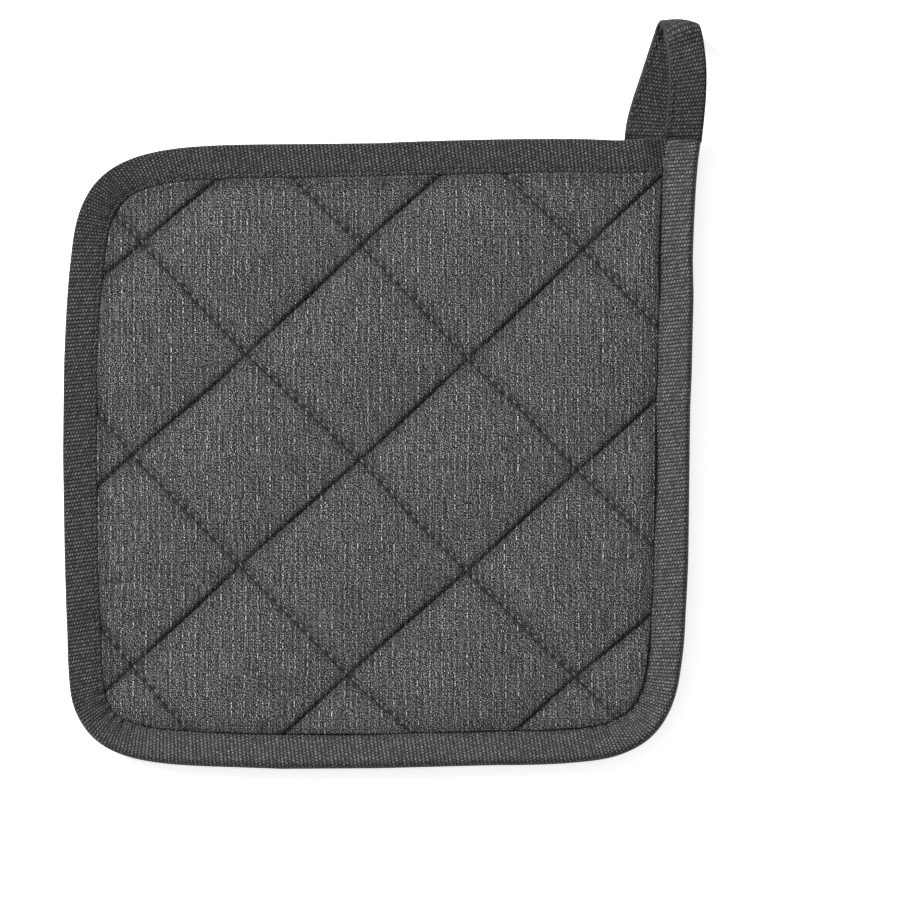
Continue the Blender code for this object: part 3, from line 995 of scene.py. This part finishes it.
def edge_tape(sewing, material):
    """The tape's outer face as an open sheet, with its thickness added on its inner side. One
    more row turns its end in: the last row, brought to the tape's middle height."""
    points, along, across, crushed = tape_skin(sewing)
    turned_in = points[-1:] + (0.0, TURNED_IN_BULGE, 0.0)
    turned_in[:, :, 2] = TAPE_MIDDLE
    along = np.append(along, along[-1] + np.abs(points[-1, :, 2] - TAPE_MIDDLE).max())
    points = np.concatenate([points, turned_in])
    crushed = np.concatenate([crushed, crushed[-1:]])
    quads = grid_quads(*points.shape[:2])[:, ::-1]
    place = (along[:, None], across)
    return strip_object("edge_tape_cloth", points, quads, place, crushed, material)


# ---- Hanging loop ----


def loop_frames():
    """Along the loop: the strip's middle, the way across its width times its spread, and
    the way out of its outer face, which is square to the heading and the width."""
    table = np.array([row[1:] for row in LOOP_SECTIONS])
    curve = smooth_through(table, LOOP_STEPS_A_ROW)
    spine = curve[:, :3]
    heading = unit_rows(np.gradient(spine, axis=0))
    swing = np.radians(curve[:, 3])
    roll = np.radians(curve[:, 4])
    width = np.column_stack([np.cos(swing), np.sin(swing), -np.tan(roll)])
    width = unit_rows(width - heading * (width * heading).sum(axis=1)[:, None])
    return spine, width * curve[:, 5:], np.cross(width, heading)


def hanging_loop(tape, material):
    """The strip: tape folded lengthwise into two layers. Its section runs from the edge of
    the outer layer across to the fold, round half a circle, and back to the other edge. It
    has a ridge along its open edge, and cups outward where it turns over."""
    spine, width, out = loop_frames()
    half = tape.loop_width / MM / 2.0
    radius = LOOP_THICKNESS / 2.0
    flat = half * 2.0 - radius
    length = 2.0 * flat + np.pi * radius
    across = np.linspace(0.0, length, LOOP_COLUMNS + 1)
    angle = np.clip((across - flat) / radius, 0.0, np.pi)
    back = np.maximum(across - flat - np.pi * radius, 0.0)
    aside = np.minimum(across, flat) - half + radius * np.sin(angle) - back
    from_ridge = aside + half - LOOP_STITCH_IN / 2.0
    ridge = LOOP_RIDGE * bell(from_ridge, LOOP_RIDGE_WIDTH)
    lift = (radius + ridge) * np.cos(angle)
    cup = LOOP_CUP * smooth_step(spine[:, 1], LOOP_CUP_FROM, spine[:, 1].max())
    lift = lift[None, :] + cup[:, None] * (1.0 - (aside / half) ** 2)
    points = spine[:, None] + aside[:, None] * width[:, None] + lift[:, :, None] * out[:, None]
    # Painted shade at the strip's rims, where it turns over, and where it meets the tape
    rim = 1.0 - LOOP_RIM_PAINTED_SHADE * bell(half - np.abs(aside), LOOP_RIM_WIDTH)
    turn = 1.0 - LOOP_TURN_PAINTED_SHADE * smooth_step(spine[:, 1], LOOP_TURN_FROM, spine[:, 1].max())
    end = 1.0 - LOOP_END_PAINTED_SHADE * (1.0 - smooth_step(spine[:, 1], LOOP_END_LOW, LOOP_END_HIGH))
    crushed = 1.0 - (turn * end)[:, None] * rim[None, :]
    place = (distance_along(spine)[:, None], across - length / 2.0)
    quads = grid_quads(*points.shape[:2])
    return strip_object("hanging_loop_cloth", points, quads, place, crushed, material)


# ---- Sewing ----


def stitches(name, starts, ends, ups, rise, width, material):
    """Many short stitches in one mesh, each from a start to an end. A stitch is a thread of
    round section whose middle line is a shallow arch: its middle stands above the cloth by
    its rise, in widths, and it dives at both ends, as the fourth power of the way there."""
    t = np.linspace(-1.0, 1.0, THREAD_RINGS)[None, :, None]
    turn = np.arange(THREAD_SIDES) * 2.0 * np.pi / THREAD_SIDES
    ways = ends - starts
    sides = unit_rows(np.cross(ways, ups))
    middles = (starts + ends) / 2.0
    lift = width * (np.reshape(rise, (-1, 1, 1)) - t**4)
    centre = middles[:, None] + t * ways[:, None] / 2.0 + lift * ups[:, None]
    over, up = np.cos(turn)[:, None], np.sin(turn)[:, None]
    ring = over * sides[:, None, None] + up * ups[:, None, None]
    radius = width / 2.0 * np.sqrt(1.0 - STITCH_TAPER * t**4)
    points = centre[:, :, None] + radius[:, :, None] * ring
    row, column = np.divmod(grid_quads(THREAD_RINGS, THREAD_SIDES + 1), THREAD_SIDES + 1)
    one = row * THREAD_SIDES + column % THREAD_SIDES
    size = THREAD_RINGS * THREAD_SIDES
    first = (np.arange(len(starts)) * size)[:, None, None]
    around = np.arange(THREAD_SIDES)[None, None]
    quads = (one[None] + first).reshape(-1, 4)
    near_caps = (around + first).reshape(-1, THREAD_SIDES)
    far_caps = (around[:, :, ::-1] + first + size - THREAD_SIDES).reshape(-1, THREAD_SIDES)
    faces = quads.tolist() + near_caps.tolist() + far_caps.tolist()
    return mesh_object(name, points.reshape(-1, 3), faces, material)


def quilting_stitches(pad, sewing, material):
    """A stitch between each two needle holes along every sewn line, on the face and on the
    back, lying in the furrow and turned a little from the line."""
    crown = pad.crown_height / MM
    pitch = sewing.quilting_stitch / MM
    half = STITCH_SHARE * pitch / 2.0
    slip = half * np.tan(np.radians(STITCH_TURN_DEG))
    starts = []
    ends = []
    rise = []
    chance = np.random.default_rng(STITCH_SEED)
    for seam in RISING_SEAMS + FALLING_SEAMS:
        along, across = seam_axes(seam)
        first, last = (SEAM_STATIONS[end] // pitch for end in (0, -1))
        middle = (np.arange(first, last + 1.0) + 0.5) * pitch
        for one, way in ((starts, -1.0), (ends, 1.0)):
            travelled = middle + way * half
            aside = seam.offset + np.interp(travelled, SEAM_STATIONS, seam.strayed) - way * slip
            one.append(travelled[:, None] * along + aside[:, None] * across)
        lift = RISING_LIFT if seam in RISING_SEAMS else FALLING_LIFT
        rise.append(lift - STITCH_SINK * chance.random(len(middle)) ** 2)
    starts = np.vstack(starts)
    ends = np.vstack(ends)
    middles = (starts + ends) / 2.0
    shown = outline_inset(middles) > TAPE_WIDTH + STITCH_CLEARANCE
    shown &= inside_outline(middles)
    starts = starts[shown]
    ends = ends[shown]
    rise = np.concatenate(rise)[shown]
    low = pad_heights(starts, crown, pitch)
    high = pad_heights(ends, crown, pitch)
    up = np.array([[0.0, 0.0, 1.0]]).repeat(len(starts), axis=0)
    return stitches(
        "quilting_stitches",
        np.vstack([np.column_stack([starts, z]) for z in low]),
        np.vstack([np.column_stack([ends, z]) for z in high]),
        np.vstack([up, -up]),
        np.tile(rise, 2),
        sewing.thread_width / MM,
        material,
    )


def inside_outline(points):
    """Whether each point lies inside the outline: the outline turns once about it."""
    leg = whole_outline()[None, ::COARSE_STRIDE] - points[:, None]
    heading = np.arctan2(leg[:, :, 1], leg[:, :, 0])
    turned = np.diff(heading, axis=1)
    turned -= 2.0 * np.pi * np.round(turned / (2.0 * np.pi))
    return turned.sum(axis=1) > np.pi


def edge_stitches(sewing, material):
    """A stitch between each two needle holes along both edges of the folded tape."""
    points, along = tape_skin(sewing)[:2]
    pitch = sewing.edge_stitch / MM
    middle = (np.arange(along[-1] // pitch) + 0.5) * pitch
    half = STITCH_SHARE * pitch / 2.0
    inset = tape_insets()
    fold = TAPE_COLUMNS // 2
    back = np.argmin(np.abs(inset[:fold] - STITCH_INSET))
    face = fold + np.argmin(np.abs(inset[fold:] - STITCH_INSET))
    up = np.array([[0.0, 0.0, 1.0]]).repeat(len(middle), axis=0)
    lines = [points[:, column] for column in (face, back)]
    return stitches(
        "edge_stitches",
        np.vstack([read_line(line, along, middle - half) for line in lines]),
        np.vstack([read_line(line, along, middle + half) for line in lines]),
        np.vstack([up, -up]),
        EDGE_LIFT,
        sewing.thread_width / MM,
        material,
    )


def loop_stitches(tape, sewing, material):
    """A stitch between each two needle holes along the loop's open edge, on both sides. The
    first would lie inside the tape's end, and is left out."""
    spine, width, out = loop_frames()
    along = distance_along(spine)
    pitch = sewing.edge_stitch / MM
    middle = (np.arange(1.0, along[-1] // pitch) + 0.5) * pitch
    half = STITCH_SHARE * pitch / 2.0
    line = spine + (LOOP_STITCH_IN - tape.loop_width / MM / 2.0) * width
    ups = read_line(out, along, middle)
    lift = LOOP_THICKNESS / 2.0
    starts = read_line(line, along, middle - half)
    ends = read_line(line, along, middle + half)
    return stitches(
        "loop_stitches",
        np.vstack([starts + lift * ups, starts - lift * ups]),
        np.vstack([ends + lift * ups, ends - lift * ups]),
        np.vstack([ups, -ups]),
        EDGE_LIFT,
        sewing.thread_width / MM,
        material,
    )


# ---- Materials ----

MATH = "ShaderNodeMath"
VECTOR_MATH = "ShaderNodeVectorMath"
MAP_RANGE = "ShaderNodeMapRange"
MIX = "ShaderNodeMix"


def matt_material(name, roughness):
    """A new material with this roughness, and its node tree."""
    material = bpy.data.materials.new(name)
    material.use_nodes = True
    tree = material.node_tree
    tree.nodes["Principled BSDF"].inputs["Roughness"].default_value = roughness
    return material, tree


def cell_parts(tree, place, size):
    """For cells of this size: which one each place lies in, as whole numbers, and how far
    into it, from 0 to 1."""
    scaled = add_node(tree, VECTOR_MATH, {0: place, 1: size}, operation="DIVIDE")
    parts = ("FLOOR", "FRACTION")
    return [add_node(tree, VECTOR_MATH, {0: scaled}, operation=part) for part in parts]


def round_wave(tree, number):
    """Half a sine wave for each unit of the number: 0 at whole numbers, 1 halfway."""
    wave = add_node(tree, MATH, {0: number}, operation="FRACT")
    wave = add_node(tree, MATH, {0: wave, 1: np.pi}, operation="MULTIPLY")
    return add_node(tree, MATH, {0: wave}, operation="SINE")


def chance_between(tree, place, low, high):
    """A number between low and high, drawn at random for each place."""
    chance = add_node(tree, "ShaderNodeTexWhiteNoise", {"Vector": place}, noise_dimensions="3D")
    return add_node(tree, MAP_RANGE, {"Value": chance, "To Min": low, "To Max": high})


def grained_light(tree, light, place, grain):
    """The light times a random share for each of the grain's cells, where a bright cell
    leaves its neighbours darker: 1, plus the contrast times the cell's own chance less the
    mean of the chances of the next cells across and along. No share is less than nothing."""
    size = (grain.width, grain.length, 1.0)
    cell = add_node(tree, VECTOR_MATH, {0: place, 1: size}, operation="DIVIDE")
    cell = add_node(tree, VECTOR_MATH, {0: cell}, operation="FLOOR")
    chances = []
    for step in ((0.0, 0.0, 0.0), (1.0, 0.0, 0.0), (0.0, 1.0, 0.0)):
        one = add_node(tree, VECTOR_MATH, {0: cell, 1: step}, operation="ADD")
        chance = add_node(tree, "ShaderNodeTexWhiteNoise", {"Vector": one}, noise_dimensions="2D")
        chances.append(chance)
    own, across, along = chances
    beside = add_node(tree, MATH, {0: across, 1: along}, operation="ADD")
    more = add_node(tree, MATH, {0: beside, 1: -0.5, 2: own}, operation="MULTIPLY_ADD")
    share = add_node(tree, MATH, {0: more, 1: grain.contrast, 2: 1.0}, operation="MULTIPLY_ADD")
    share = add_node(tree, MATH, {0: share, 1: 0.0}, operation="MAXIMUM")
    return add_node(tree, MATH, {0: light, 1: share}, operation="MULTIPLY")


def finish_cloth(tree, relief, place, shading, grains, colour, shade=1.0):
    """Turns a relief into a cloth's colour and bump. The yarn's colour is painted lighter on the
    relief's tops and darker in its gaps, varied by its grains, darkened by the share that the
    mesh's crushed attribute leaves, and by the shade, which is painted shade over the whole cloth."""
    dark = shading.dark * shade
    light = shading.light * shade
    span = {"Value": relief, "From Max": shading.top, "To Min": dark, "To Max": light}
    lit = add_node(tree, MAP_RANGE, span)
    for grain in grains:
        lit = grained_light(tree, lit, place, grain)
    crushed = add_node(tree, "ShaderNodeAttribute", attribute_name="crushed").node.outputs["Fac"]
    kept = add_node(tree, MATH, {0: 1.0, 1: crushed}, operation="SUBTRACT")
    lit = add_node(tree, MATH, {0: lit, 1: kept}, operation="MULTIPLY")
    dyed = add_node(tree, VECTOR_MATH, {0: tuple(colour), "Scale": lit}, operation="SCALE")
    height = {"Height": relief, "Strength": 1.0, "Distance": shading.height * MM}
    bump = add_node(tree, "ShaderNodeBump", height)
    shader = tree.nodes["Principled BSDF"]
    tree.links.new(dyed, shader.inputs["Base Color"])
    tree.links.new(bump, shader.inputs["Normal"])
    shader.inputs["Specular IOR Level"].default_value = COTTON_SPECULAR


def basket_ground(tree, place, pair):
    """The relief of a basket ground: two yarns side by side in each block, which run across
    in every second one. A yarn is half a sine wave across, sinks as the fourth power of the
    way to its ends, and differs from the next one in strength."""
    block, within = cell_parts(tree, place, (pair, PICK_PITCH, 1.0))
    block_sum = add_node(tree, VECTOR_MATH, {0: block, 1: (1.0, 1.0, 0.0)}, operation="DOT_PRODUCT")
    block_sum = block_sum.node.outputs["Value"]
    level = add_node(tree, MATH, {0: block_sum, 1: 2.0}, operation="FLOORED_MODULO")
    across = add_node(tree, "ShaderNodeSeparateXYZ", {0: within})
    sideways = {0: across.node.outputs["Y"], 1: across}
    swapped = add_node(tree, "ShaderNodeCombineXYZ", sideways)
    turned = add_node(tree, MIX, {"Factor": level, 4: within, 5: swapped}, data_type="VECTOR")
    yarn = add_node(tree, "ShaderNodeSeparateXYZ", {0: turned.node.outputs[1]})
    strand = add_node(tree, MATH, {0: yarn, 1: 2.0}, operation="MULTIPLY")
    along = {0: yarn.node.outputs["Y"], 1: 2.0, 2: -1.0}
    from_middle = add_node(tree, MATH, along, operation="MULTIPLY_ADD")
    ends = add_node(tree, MATH, {0: from_middle, 1: 4.0}, operation="POWER")
    shown = add_node(tree, MATH, {0: 1.0, 1: ends}, operation="SUBTRACT")
    ground = add_node(tree, MATH, {0: round_wave(tree, strand), 1: shown}, operation="MULTIPLY")
    strand = add_node(tree, MATH, {0: strand}, operation="FLOOR")
    seed = add_node(tree, "ShaderNodeCombineXYZ", {0: strand, 1: level, 2: 0.5})
    seed = add_node(tree, VECTOR_MATH, {0: block, 1: seed}, operation="ADD")
    strength = chance_between(tree, seed, YARN_FAINT, YARN_STRONG)
    return add_node(tree, MATH, {0: ground, 1: strength}, operation="MULTIPLY")


def warp_floats(tree, place, pair):
    """The relief of the floating warp yarns, and the share of the ground's that is left
    beside them. There is one dash in each cell, faint in every second column. It falls off
    evenly from its core to its half width, and over the last bit of its length."""
    size = (FLOAT_PAIRS * pair, FLOAT_PICKS * PICK_PITCH, 1.0)
    cell, in_cell = cell_parts(tree, place, size)
    off = add_node(tree, VECTOR_MATH, {0: in_cell, 1: (0.5, 0.5, 0.0)}, operation="SUBTRACT")
    off = add_node(tree, VECTOR_MATH, {0: off, 1: size}, operation="MULTIPLY")
    off = add_node(tree, VECTOR_MATH, {0: off}, operation="ABSOLUTE")
    aside = add_node(tree, "ShaderNodeSeparateXYZ", {0: off})
    lengthwise = aside.node.outputs["Y"]
    body, flank, stretch = (
        add_node(tree, MAP_RANGE, {"Value": value, "From Min": outer, "From Max": inner})
        for value, outer, inner in (
            (aside, FLOAT_HALF_WIDTH, FLOAT_CORE),
            (aside, FLOAT_HALF_WIDTH + FLANK_WIDTH, FLOAT_HALF_WIDTH),
            (lengthwise, FLOAT_HALF_LENGTH, FLOAT_HALF_LENGTH - FLOAT_FADE),
        )
    )
    column = add_node(tree, "ShaderNodeSeparateXYZ", {0: cell})
    second = add_node(tree, MATH, {0: column, 1: 2.0}, operation="FLOORED_MODULO")
    bold = add_node(tree, MAP_RANGE, {"Value": second, "To Min": 1.0, "To Max": SECOND_FLOAT})
    seed = add_node(tree, VECTOR_MATH, {0: cell, 1: FLOAT_SEED}, operation="ADD")
    strength = chance_between(tree, seed, FLOAT_FAINT, FLOAT_STRONG)
    bold = add_node(tree, MATH, {0: bold, 1: strength}, operation="MULTIPLY")
    bold = add_node(tree, MATH, {0: bold, 1: stretch}, operation="MULTIPLY")
    dash = add_node(tree, MATH, {0: body, 1: bold}, operation="MULTIPLY")
    dash = add_node(tree, MATH, {0: dash, 1: FLOAT_LIFT}, operation="MULTIPLY")
    dark = add_node(tree, MATH, {0: flank, 1: bold}, operation="MULTIPLY")
    kept = add_node(tree, MATH, {0: dark, 1: -FLANK_SHADE, 2: 1.0}, operation="MULTIPLY_ADD")
    return dash, kept


def dobby_cotton(pad):
    """Dobby-woven cotton, dyed dark grey: a basket ground of doubled yarns, with a warp yarn that
    floats on top in every second pair. It gives the eye a fine dark grain with rows of small bright
    upright dashes, and darker cloth beside a seam, partly crushed cloth and partly painted shade."""
    material, tree = matt_material("dobby_woven_cotton", PAD_ROUGHNESS)
    pair = pad.thread_pitch / MM
    place = add_node(tree, "ShaderNodeUVMap", uv_map="Cloth")
    dash, kept = warp_floats(tree, place, pair)
    ground = basket_ground(tree, place, pair)
    ground = add_node(tree, MATH, {0: ground, 1: kept}, operation="MULTIPLY")
    relief = add_node(tree, MATH, {0: ground, 1: dash}, operation="MAXIMUM")
    finish_cloth(tree, relief, place, WEAVE_SHADING, PAD_GRAINS, pad.yarn_colour)
    return material


def ribbed_cotton(tape, lean_deg, breadth, selvedge_width=0.0, shade=1.0):
    """Ribbed cotton tape: rows of small round knots across its breadth, each row half a knot on
    from the one before, leaning by lean_deg, and a plain selvedge where it shows. A knot's height
    is half a sine wave along the tape times one across it, which sinks only to KNOT_JOIN. It gives
    the eye light dots between dark gaps, painted lighter on the knots and darker between them. The
    shade is painted shade that darkens it."""
    material, tree = matt_material("ribbed_cotton_tape", TAPE_ROUGHNESS)
    place = add_node(tree, "ShaderNodeUVMap", uv_map="Cloth")
    along = add_node(tree, "ShaderNodeSeparateXYZ", {0: place})
    across = along.node.outputs["Y"]
    lean = float(np.tan(np.radians(lean_deg)))
    leaned = add_node(tree, MATH, {0: across, 1: lean, 2: along}, operation="MULTIPLY_ADD")
    row = add_node(tree, MATH, {0: leaned, 1: tape.rib_pitch / MM}, operation="DIVIDE")
    which_row = add_node(tree, MATH, {0: row}, operation="FLOOR")
    shifted = add_node(tree, MATH, {0: which_row, 1: 0.5}, operation="MULTIPLY")
    in_pitches = {0: across, 1: 1.0 / KNOT_PITCH, 2: shifted}
    knot = add_node(tree, MATH, in_pitches, operation="MULTIPLY_ADD")
    which_knot = add_node(tree, MATH, {0: knot}, operation="FLOOR")
    joined = {"Value": round_wave(tree, knot), "To Min": KNOT_JOIN, "To Max": 1.0}
    in_knot = add_node(tree, MAP_RANGE, joined)
    relief = add_node(tree, MATH, {0: round_wave(tree, row), 1: in_knot}, operation="MULTIPLY")
    seed = add_node(tree, "ShaderNodeCombineXYZ", {0: which_row, 1: which_knot})
    strength = chance_between(tree, seed, KNOT_FAINT, KNOT_STRONG)
    relief = add_node(tree, MATH, {0: relief, 1: strength}, operation="MULTIPLY")
    from_middle = add_node(tree, MATH, {0: across}, operation="ABSOLUTE")
    inner = breadth / 2.0 - selvedge_width
    edge = {"Value": from_middle, "From Min": inner, "From Max": inner + SELVEDGE_FADE}
    plain = {"Factor": add_node(tree, MAP_RANGE, edge), 2: relief, 3: SELVEDGE_HEIGHT}
    relief = add_node(tree, MIX, plain, data_type="FLOAT")
    finish_cloth(tree, relief, place, RIB_SHADING, TAPE_GRAINS, tape.tape_colour, shade)
    return material


def spun_thread(colour):
    """Spun sewing thread: it gives the eye a soft dash at each stitch."""
    material, tree = matt_material("spun_sewing_thread", THREAD_ROUGHNESS)
    tree.nodes["Principled BSDF"].inputs["Base Color"].default_value = (*colour, 1.0)
    return material


def opal_acrylic():
    """Matt opal acrylic for the studio's floor, softly lit from below as on a light table:
    it gives the eye an even white with almost no shadow."""
    material, tree = matt_material("matt_opal_acrylic", FLOOR_ROUGHNESS)
    shader = tree.nodes["Principled BSDF"]
    shader.inputs["Base Color"].default_value = (*linear_colour("f7f7f6"), 1.0)
    shader.inputs["Emission Color"].default_value = WHITE
    shader.inputs["Emission Strength"].default_value = FLOOR_GLOW
    return material


# ---- Studio pieces ----


def add_floor():
    """A square floor at the table's height, round the origin."""
    ways = ((-1.0, -1.0), (1.0, -1.0), (1.0, 1.0), (-1.0, 1.0))
    corners = [(x * FLOOR_HALF, y * FLOOR_HALF, 0.0) for x, y in ways]
    mesh = bpy.data.meshes.new("floor")
    mesh.from_pydata(corners, [], [(0, 1, 2, 3)])
    mesh.materials.append(opal_acrylic())
    return add_object("floor", mesh)


def add_key_light(power):
    """A large soft light, turned to the origin."""
    key = bpy.data.lights.new("key_light", "AREA")
    key.energy = power
    key.size = KEY_SIZE
    lamp = add_object("key_light", key)
    lamp.location = KEY_PLACE
    lamp.rotation_euler = (-Vector(KEY_PLACE)).to_track_quat("-Z", "Y").to_euler()


def add_fill(scene, strength):
    """An even white light from all round."""
    world = bpy.data.worlds.new("studio_fill")
    world.use_nodes = True
    background = world.node_tree.nodes["Background"]
    background.inputs["Color"].default_value = WHITE
    background.inputs["Strength"].default_value = strength
    scene.world = world


def add_camera(scene):
    """A camera that looks straight down, and shows VIEW_WIDTH of the floor."""
    camera = bpy.data.cameras.new("camera")
    camera.sensor_width = SENSOR_WIDTH_MM
    camera.lens = SENSOR_WIDTH_MM * CAMERA_HEIGHT / VIEW_WIDTH
    viewer = add_object("camera", camera)
    viewer.location = (*VIEW_CENTRE, CAMERA_HEIGHT)
    scene.camera = viewer
    scene.view_settings.view_transform = "Standard"


# ---- Operators ----


class POTHOLDER_OT_pad(bpy.types.Operator):
    """Makes the quilted pad's cloth"""

    bl_idname = "pot_holder.pad"
    bl_label = "Quilted pad"

    def execute(self, context):
        scene = context.scene
        pad = scene.pot_holder_pad
        made = quilted_pad(pad, scene.pot_holder_sewing, dobby_cotton(pad))
        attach(made, "root")
        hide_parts("quilted_pad")
        return {"FINISHED"}


class POTHOLDER_OT_tape(bpy.types.Operator):
    """Makes the tape folded over the pad's edge"""

    bl_idname = "pot_holder.tape"
    bl_label = "Edge tape"

    def execute(self, context):
        scene = context.scene
        cloth = ribbed_cotton(scene.pot_holder_tape, RIB_LEAN_DEG, TAPE_BREADTH)
        made = edge_tape(scene.pot_holder_sewing, cloth)
        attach(made, "root")
        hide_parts("edge_binding")
        return {"FINISHED"}


class POTHOLDER_OT_loop(bpy.types.Operator):
    """Makes the hanging loop"""

    bl_idname = "pot_holder.loop"
    bl_label = "Hanging loop"

    def execute(self, context):
        scene = context.scene
        cloth = ribbed_cotton(
            scene.pot_holder_tape, LOOP_LEAN_DEG, LOOP_BREADTH, SELVEDGE_WIDTH, LOOP_PAINTED_SHADE
        )
        made = hanging_loop(scene.pot_holder_tape, cloth)
        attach(made, "root")
        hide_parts("hanging_loop")
        return {"FINISHED"}


class POTHOLDER_OT_sewing(bpy.types.Operator):
    """Makes the stitches of the quilting, the tape and the loop"""

    bl_idname = "pot_holder.sewing"
    bl_label = "Sewing"

    def execute(self, context):
        scene = context.scene
        sewing = scene.pot_holder_sewing
        quilting = spun_thread(sewing.thread_colour)
        edging = spun_thread(sewing.edge_thread_colour)
        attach(quilting_stitches(scene.pot_holder_pad, sewing, quilting), "root")
        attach(edge_stitches(sewing, edging), "root")
        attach(loop_stitches(scene.pot_holder_tape, sewing, edging), "root")
        return {"FINISHED"}


class POTHOLDER_OT_studio(bpy.types.Operator):
    """Makes the floor, the lights and the camera"""

    bl_idname = "pot_holder.studio"
    bl_label = "Plain studio"

    def execute(self, context):
        studio = context.scene.pot_holder_studio
        floor = add_floor()
        add_key_light(studio.key_power)
        add_fill(context.scene, studio.fill_strength)
        add_camera(context.scene)
        return {"FINISHED"}


class POTHOLDER_PT_panel(bpy.types.Panel):
    """Lists the pieces and their settings"""

    bl_idname = "POTHOLDER_PT_panel"
    bl_label = "Pot holder"
    bl_space_type = "VIEW_3D"
    bl_region_type = "UI"
    bl_category = "Pot holder"

    def draw(self, context):
        for operator in OPERATORS:
            self.layout.operator(operator.bl_idname)
        for name, group in SETTINGS.items():
            box = self.layout.box()
            for setting in group.__annotations__:
                box.prop(getattr(context.scene, name), setting)


OPERATORS = (
    POTHOLDER_OT_pad,
    POTHOLDER_OT_tape,
    POTHOLDER_OT_loop,
    POTHOLDER_OT_sewing,
    POTHOLDER_OT_studio,
)
SETTINGS = {
    "pot_holder_pad": PadSettings,
    "pot_holder_tape": TapeSettings,
    "pot_holder_sewing": SewingSettings,
    "pot_holder_studio": StudioSettings,
}


def register():
    """Registers the classes, and puts the settings on the scene."""
    for group in SETTINGS.values():
        bpy.utils.register_class(group)
    for name, group in SETTINGS.items():
        setattr(bpy.types.Scene, name, bpy.props.PointerProperty(type=group))
    for one in OPERATORS + (POTHOLDER_PT_panel,):
        bpy.utils.register_class(one)


def unregister():
    """Undoes what register did."""
    for one in reversed(OPERATORS + (POTHOLDER_PT_panel,)):
        bpy.utils.unregister_class(one)
    for name in SETTINGS:
        delattr(bpy.types.Scene, name)
    for group in SETTINGS.values():
        bpy.utils.unregister_class(group)


def main():
    """Makes the whole object in its studio."""
    register()
    bpy.ops.pot_holder.pad()
    bpy.ops.pot_holder.tape()
    bpy.ops.pot_holder.loop()
    bpy.ops.pot_holder.sewing()
    bpy.ops.pot_holder.studio()


if __name__ == "__main__":
    main()
